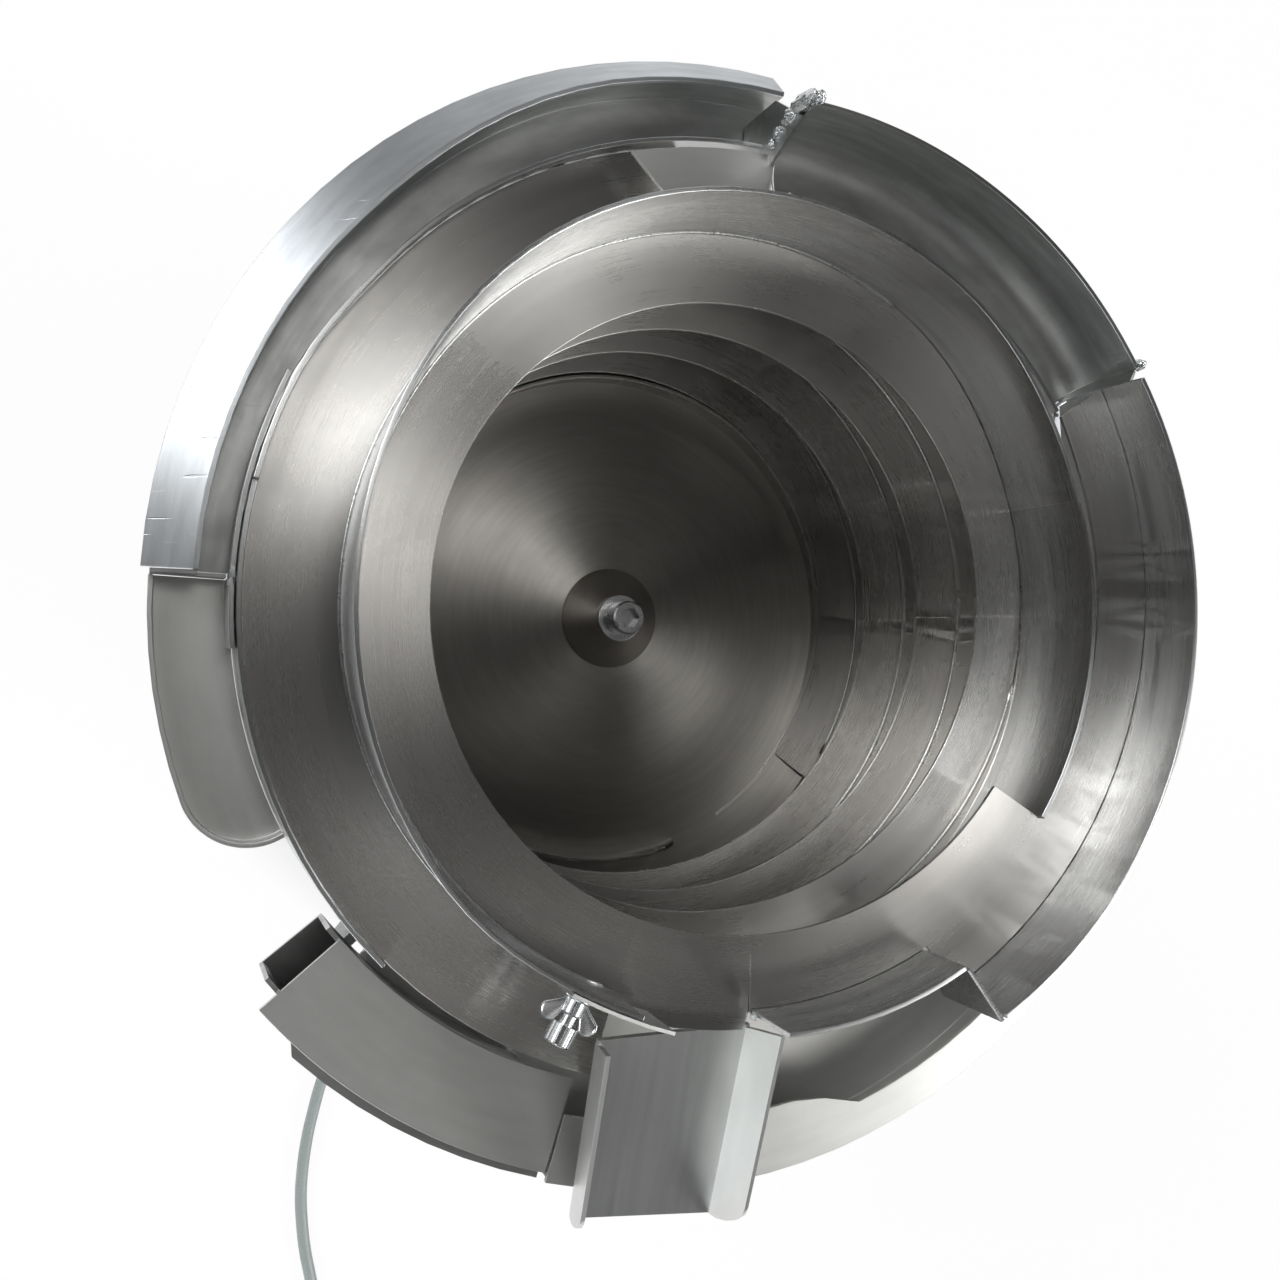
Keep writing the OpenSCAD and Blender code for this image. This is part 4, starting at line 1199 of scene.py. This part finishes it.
    def blobs(self) -> None:
        """Lumps of weld, each knocked out of round, joined as one piece."""
        made = []
        for seed, lump in enumerate(self.lumps, self.first_seed):
            deselect()
            bpy.ops.mesh.primitive_ico_sphere_add(subdivisions=4, radius=MM)
            ball = settle(bpy.context.object, Matrix.Diagonal((*lump.size, 1.0)))
            select_points(ball, lambda co: True)
            bpy.ops.transform.vertex_random(offset=self.lump_rough * MM, uniform=0.2, normal=1.0, seed=seed)
            bpy.ops.mesh.vertices_smooth(factor=0.5, repeat=2)
            deselect()
            turn = Matrix.Rotation(math.radians(lump.angle), 4, "Z")
            settle(ball, Matrix.Translation(polar(lump.radius, lump.angle, lump.z)) @ turn)
            made.append(ball)
        piece = join("weld_lumps", made)
        pick(piece)
        bpy.ops.object.shade_smooth()
        dressed(piece, Finish.WELD, "bright_sheet")


# ------------------------------------------------------------------ fasteners
@dataclass
class Fasteners:
    """Washer, stud, wing nut and clamp screws with their real forms, in mm and degrees."""

    disc_h: float = 17.0
    flat_t: float = 2.5
    washer_bar: tuple[float, float] = (2.6, 1.9)
    washer_r: float = 7.6
    washer_arc: float = 352.0
    washer_step: float = 0.5
    washer_mid: float = 0.98
    stud_angle: float = 241.0
    stud_z: float = 433.0
    stud_foot: float = 170.8
    thread_r: float = 2.95
    thread_tooth: float = 0.55
    thread_turns: int = 10
    thread_foot: float = 0.4
    knob_r: float = 5.4
    knob_h: float = 7.6
    knob_foot: float = 13.6
    rim: tuple[float, float] = (1.0, 0.7)
    boss_r: float = 4.4
    boss_h: float = 7.6
    collar_r: float = 5.9
    collar_h: float = 1.6
    nut_foot: float = 172.4
    nut_turn: float = 5.0
    wing_lean: float = 50.0
    wing_r: float = 4.1
    wing_t: float = 1.6
    wing_root: float = 0.52
    wing_drop: float = 6.0
    wing_out: float = 9.2
    wing_foot: tuple[float, float] = (2.4, 2.6)
    spring_angles: tuple[float, ...] = (30.0, 150.0, 270.0)
    spring_r: float = 100.0
    spring_mid: float = 114.5
    tilt: float = 20.0
    head_r: float = 6.5
    head_h: float = 8.0
    hex_r: float = 3.9
    hex_foot: float = 4.0
    shank_r: float = 4.0
    shank_len: float = 37.0
    screw_at: Point = (13.0, 13.5, 50.0)

    def split_washer(self) -> None:
        """A spring washer cut through and sprung."""
        deselect()
        bpy.ops.mesh.primitive_plane_add(size=1.0, rotation=(math.pi / 2, 0, 0))
        bar = bpy.context.object
        bar.scale = (*mm(*self.washer_bar), 1.0)
        settle(bar)
        settle(bar, Matrix.Translation(mm(self.washer_r, 0, 0)))
        modify(bar, "SCREW", axis="Z", angle=math.radians(self.washer_arc),
               screw_offset=self.washer_step * MM, steps=48, render_steps=48)
        seat = CROWN + self.disc_h + self.flat_t + self.washer_mid
        settle(bar, Matrix.Translation(mm(0, 0, seat)) @ Matrix.Rotation(0.8, 4, "Z"))
        outwards(bar)
        modify(bar, "BEVEL", width=0.25 * MM, segments=2, limit_method="ANGLE", angle_limit=0.7)
        bar.name = "split_washer"
        dressed(smooth(bar), Finish.ZINC, "zinc", "spring_washer")

    def stud_frame(self, radius: float) -> Matrix:
        """The place on the stud's axis at a radius, Z pointing away from the bowl."""
        a = math.radians(self.stud_angle)
        return along(polar(radius, self.stud_angle, self.stud_z), Vector((math.cos(a), math.sin(a), 0.0)))

    def thread(self) -> None:
        """Thread on the stud, and the knurled head at its end."""
        deselect()
        bpy.ops.mesh.primitive_circle_add(vertices=3, radius=self.thread_tooth * MM,
                                          location=mm(self.thread_r, 0, 0), rotation=(math.pi / 2, 0, 0))
        tooth = settle(bpy.context.object)
        modify(tooth, "SCREW", axis="Z", angle=math.radians(360), screw_offset=1.0 * MM,
               iterations=self.thread_turns, steps=24, render_steps=24)
        outwards(tooth)
        head = cylinder(self.knob_r, self.knob_h, self.knob_foot, 40)
        raise_ribs(head, 2, 0.35)
        ease_top(head, *self.rim)
        piece = join("stud_thread", [tooth, head])
        settle(piece, self.stud_frame(self.stud_foot + self.thread_foot))
        dressed(smooth(piece, 30), Finish.ZINC, "zinc")

    def wing(self) -> bpy.types.Object:
        """One teardrop wing lying in the XZ plane, its root at the origin.

        Returns:
            The wing, with a raised rim on both faces.
        """
        wing = cylinder(self.wing_r, self.wing_t, -self.wing_t / 2)
        select_points(wing, lambda co: co.x < 0.2 * MM)
        bpy.ops.transform.resize(value=(1.0, self.wing_root, 1.0), center_override=(0, 0, 0))
        bpy.ops.transform.translate(value=mm(-self.wing_drop, 0, 0))
        deselect()
        for side in (1.0, -1.0):
            select_faces(wing, lambda p, s=side: p.normal.z * s > 0.9)
            bpy.ops.mesh.inset(thickness=0.6 * MM)
            bpy.ops.mesh.inset(thickness=0.3 * MM, depth=-0.4 * MM)
            deselect()
        modify(wing, "BEVEL", width=0.2 * MM, segments=2, limit_method="ANGLE", angle_limit=0.6)
        upright = Matrix.Rotation(math.pi / 2, 4, "X")
        return settle(wing, upright @ Matrix.Translation(mm(self.wing_out, 0, 0)))

    def wing_nut(self) -> None:
        """A wing nut: ribbed boss on a collar, with two leaning wings."""
        boss = cylinder(self.boss_r, self.boss_h, 0.0, 36)
        raise_ribs(boss, 3, 0.4)
        ease_top(boss, 0.5, 0.5)
        collar = cylinder(self.collar_r, self.collar_h)
        ease_top(collar, *self.rim)
        right = self.wing()
        left = copy_of(right, Matrix.Rotation(math.pi, 4, "Z"))
        lean = math.radians(self.wing_lean)
        out, up = self.wing_foot
        settle(right, Matrix.Translation(mm(out, 0, up)) @ Matrix.Rotation(-lean, 4, "Y"))
        settle(left, Matrix.Translation(mm(-out, 0, up)) @ Matrix.Rotation(lean, 4, "Y"))
        nut = join("wing_nut_cast", [boss, collar, right, left])
        settle(nut, self.stud_frame(self.nut_foot) @ Matrix.Rotation(math.radians(self.nut_turn), 4, "Z"))
        dressed(smooth(nut, 32), Finish.ZINC, "zinc", "wing_nut")

    def clamp_screws(self) -> None:
        """Socket screws through the spring clamps, with a hex recess each."""
        head = cylinder(self.head_r, self.head_h, 0.0, 40)
        ease_top(head, 0.7, 0.6)
        hexagon = cylinder(self.hex_r, self.head_h + 1.0, self.hex_foot, 6)
        pick(head)
        cut = head.modifiers.new("socket", "BOOLEAN")
        cut.object, cut.operation, cut.solver = hexagon, "DIFFERENCE", "EXACT"
        bpy.ops.object.modifier_apply(modifier=cut.name)
        bpy.data.objects.remove(hexagon)
        shank = cylinder(self.shank_r, self.shank_len, -self.shank_len, 24)
        screw = join("clamp_screw_heads", [head, shank])
        copies = []
        across, out, up = self.screw_at
        for angle in self.spring_angles:
            middle = Matrix.Translation(mm(self.spring_r, 0, self.spring_mid))
            tilt = Matrix.Rotation(math.radians(self.tilt), 4, "X")
            pack = Matrix.Rotation(math.radians(angle), 4, "Z") @ middle @ tilt
            for side in (-1, 1):
                for x in (-across, across):
                    spot = (pack @ Matrix.Translation(mm(x, side * out, side * up))
                            @ Matrix.Rotation(math.radians(-side * 90), 4, "X"))
                    copies.append(copy_of(screw, spot))
        bpy.data.objects.remove(screw)
        piece = join("clamp_screw_set", copies)
        dressed(smooth(piece, 30), Finish.ZINC, "zinc", "clamp_screws")

    def build(self) -> None:
        """Makes every fastener."""
        self.split_washer()
        self.thread()
        self.wing_nut()
        self.clamp_screws()


def main(nodes: dict[str, bpy.types.Object]) -> None:
    """Builds the scene in order.

    Args:
        nodes: The CAD nodes by name.
    """
    logging.basicConfig(level=logging.INFO, format="%(message)s")
    studio = Studio()
    studio.camera()
    Lead().build()
    studio.build()
    SheetDress().build(nodes)
    WeldSeams().build()
    Fasteners().build()
    deselect()


if __name__ == "__main__":
    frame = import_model()
    main(frame["nodes"])
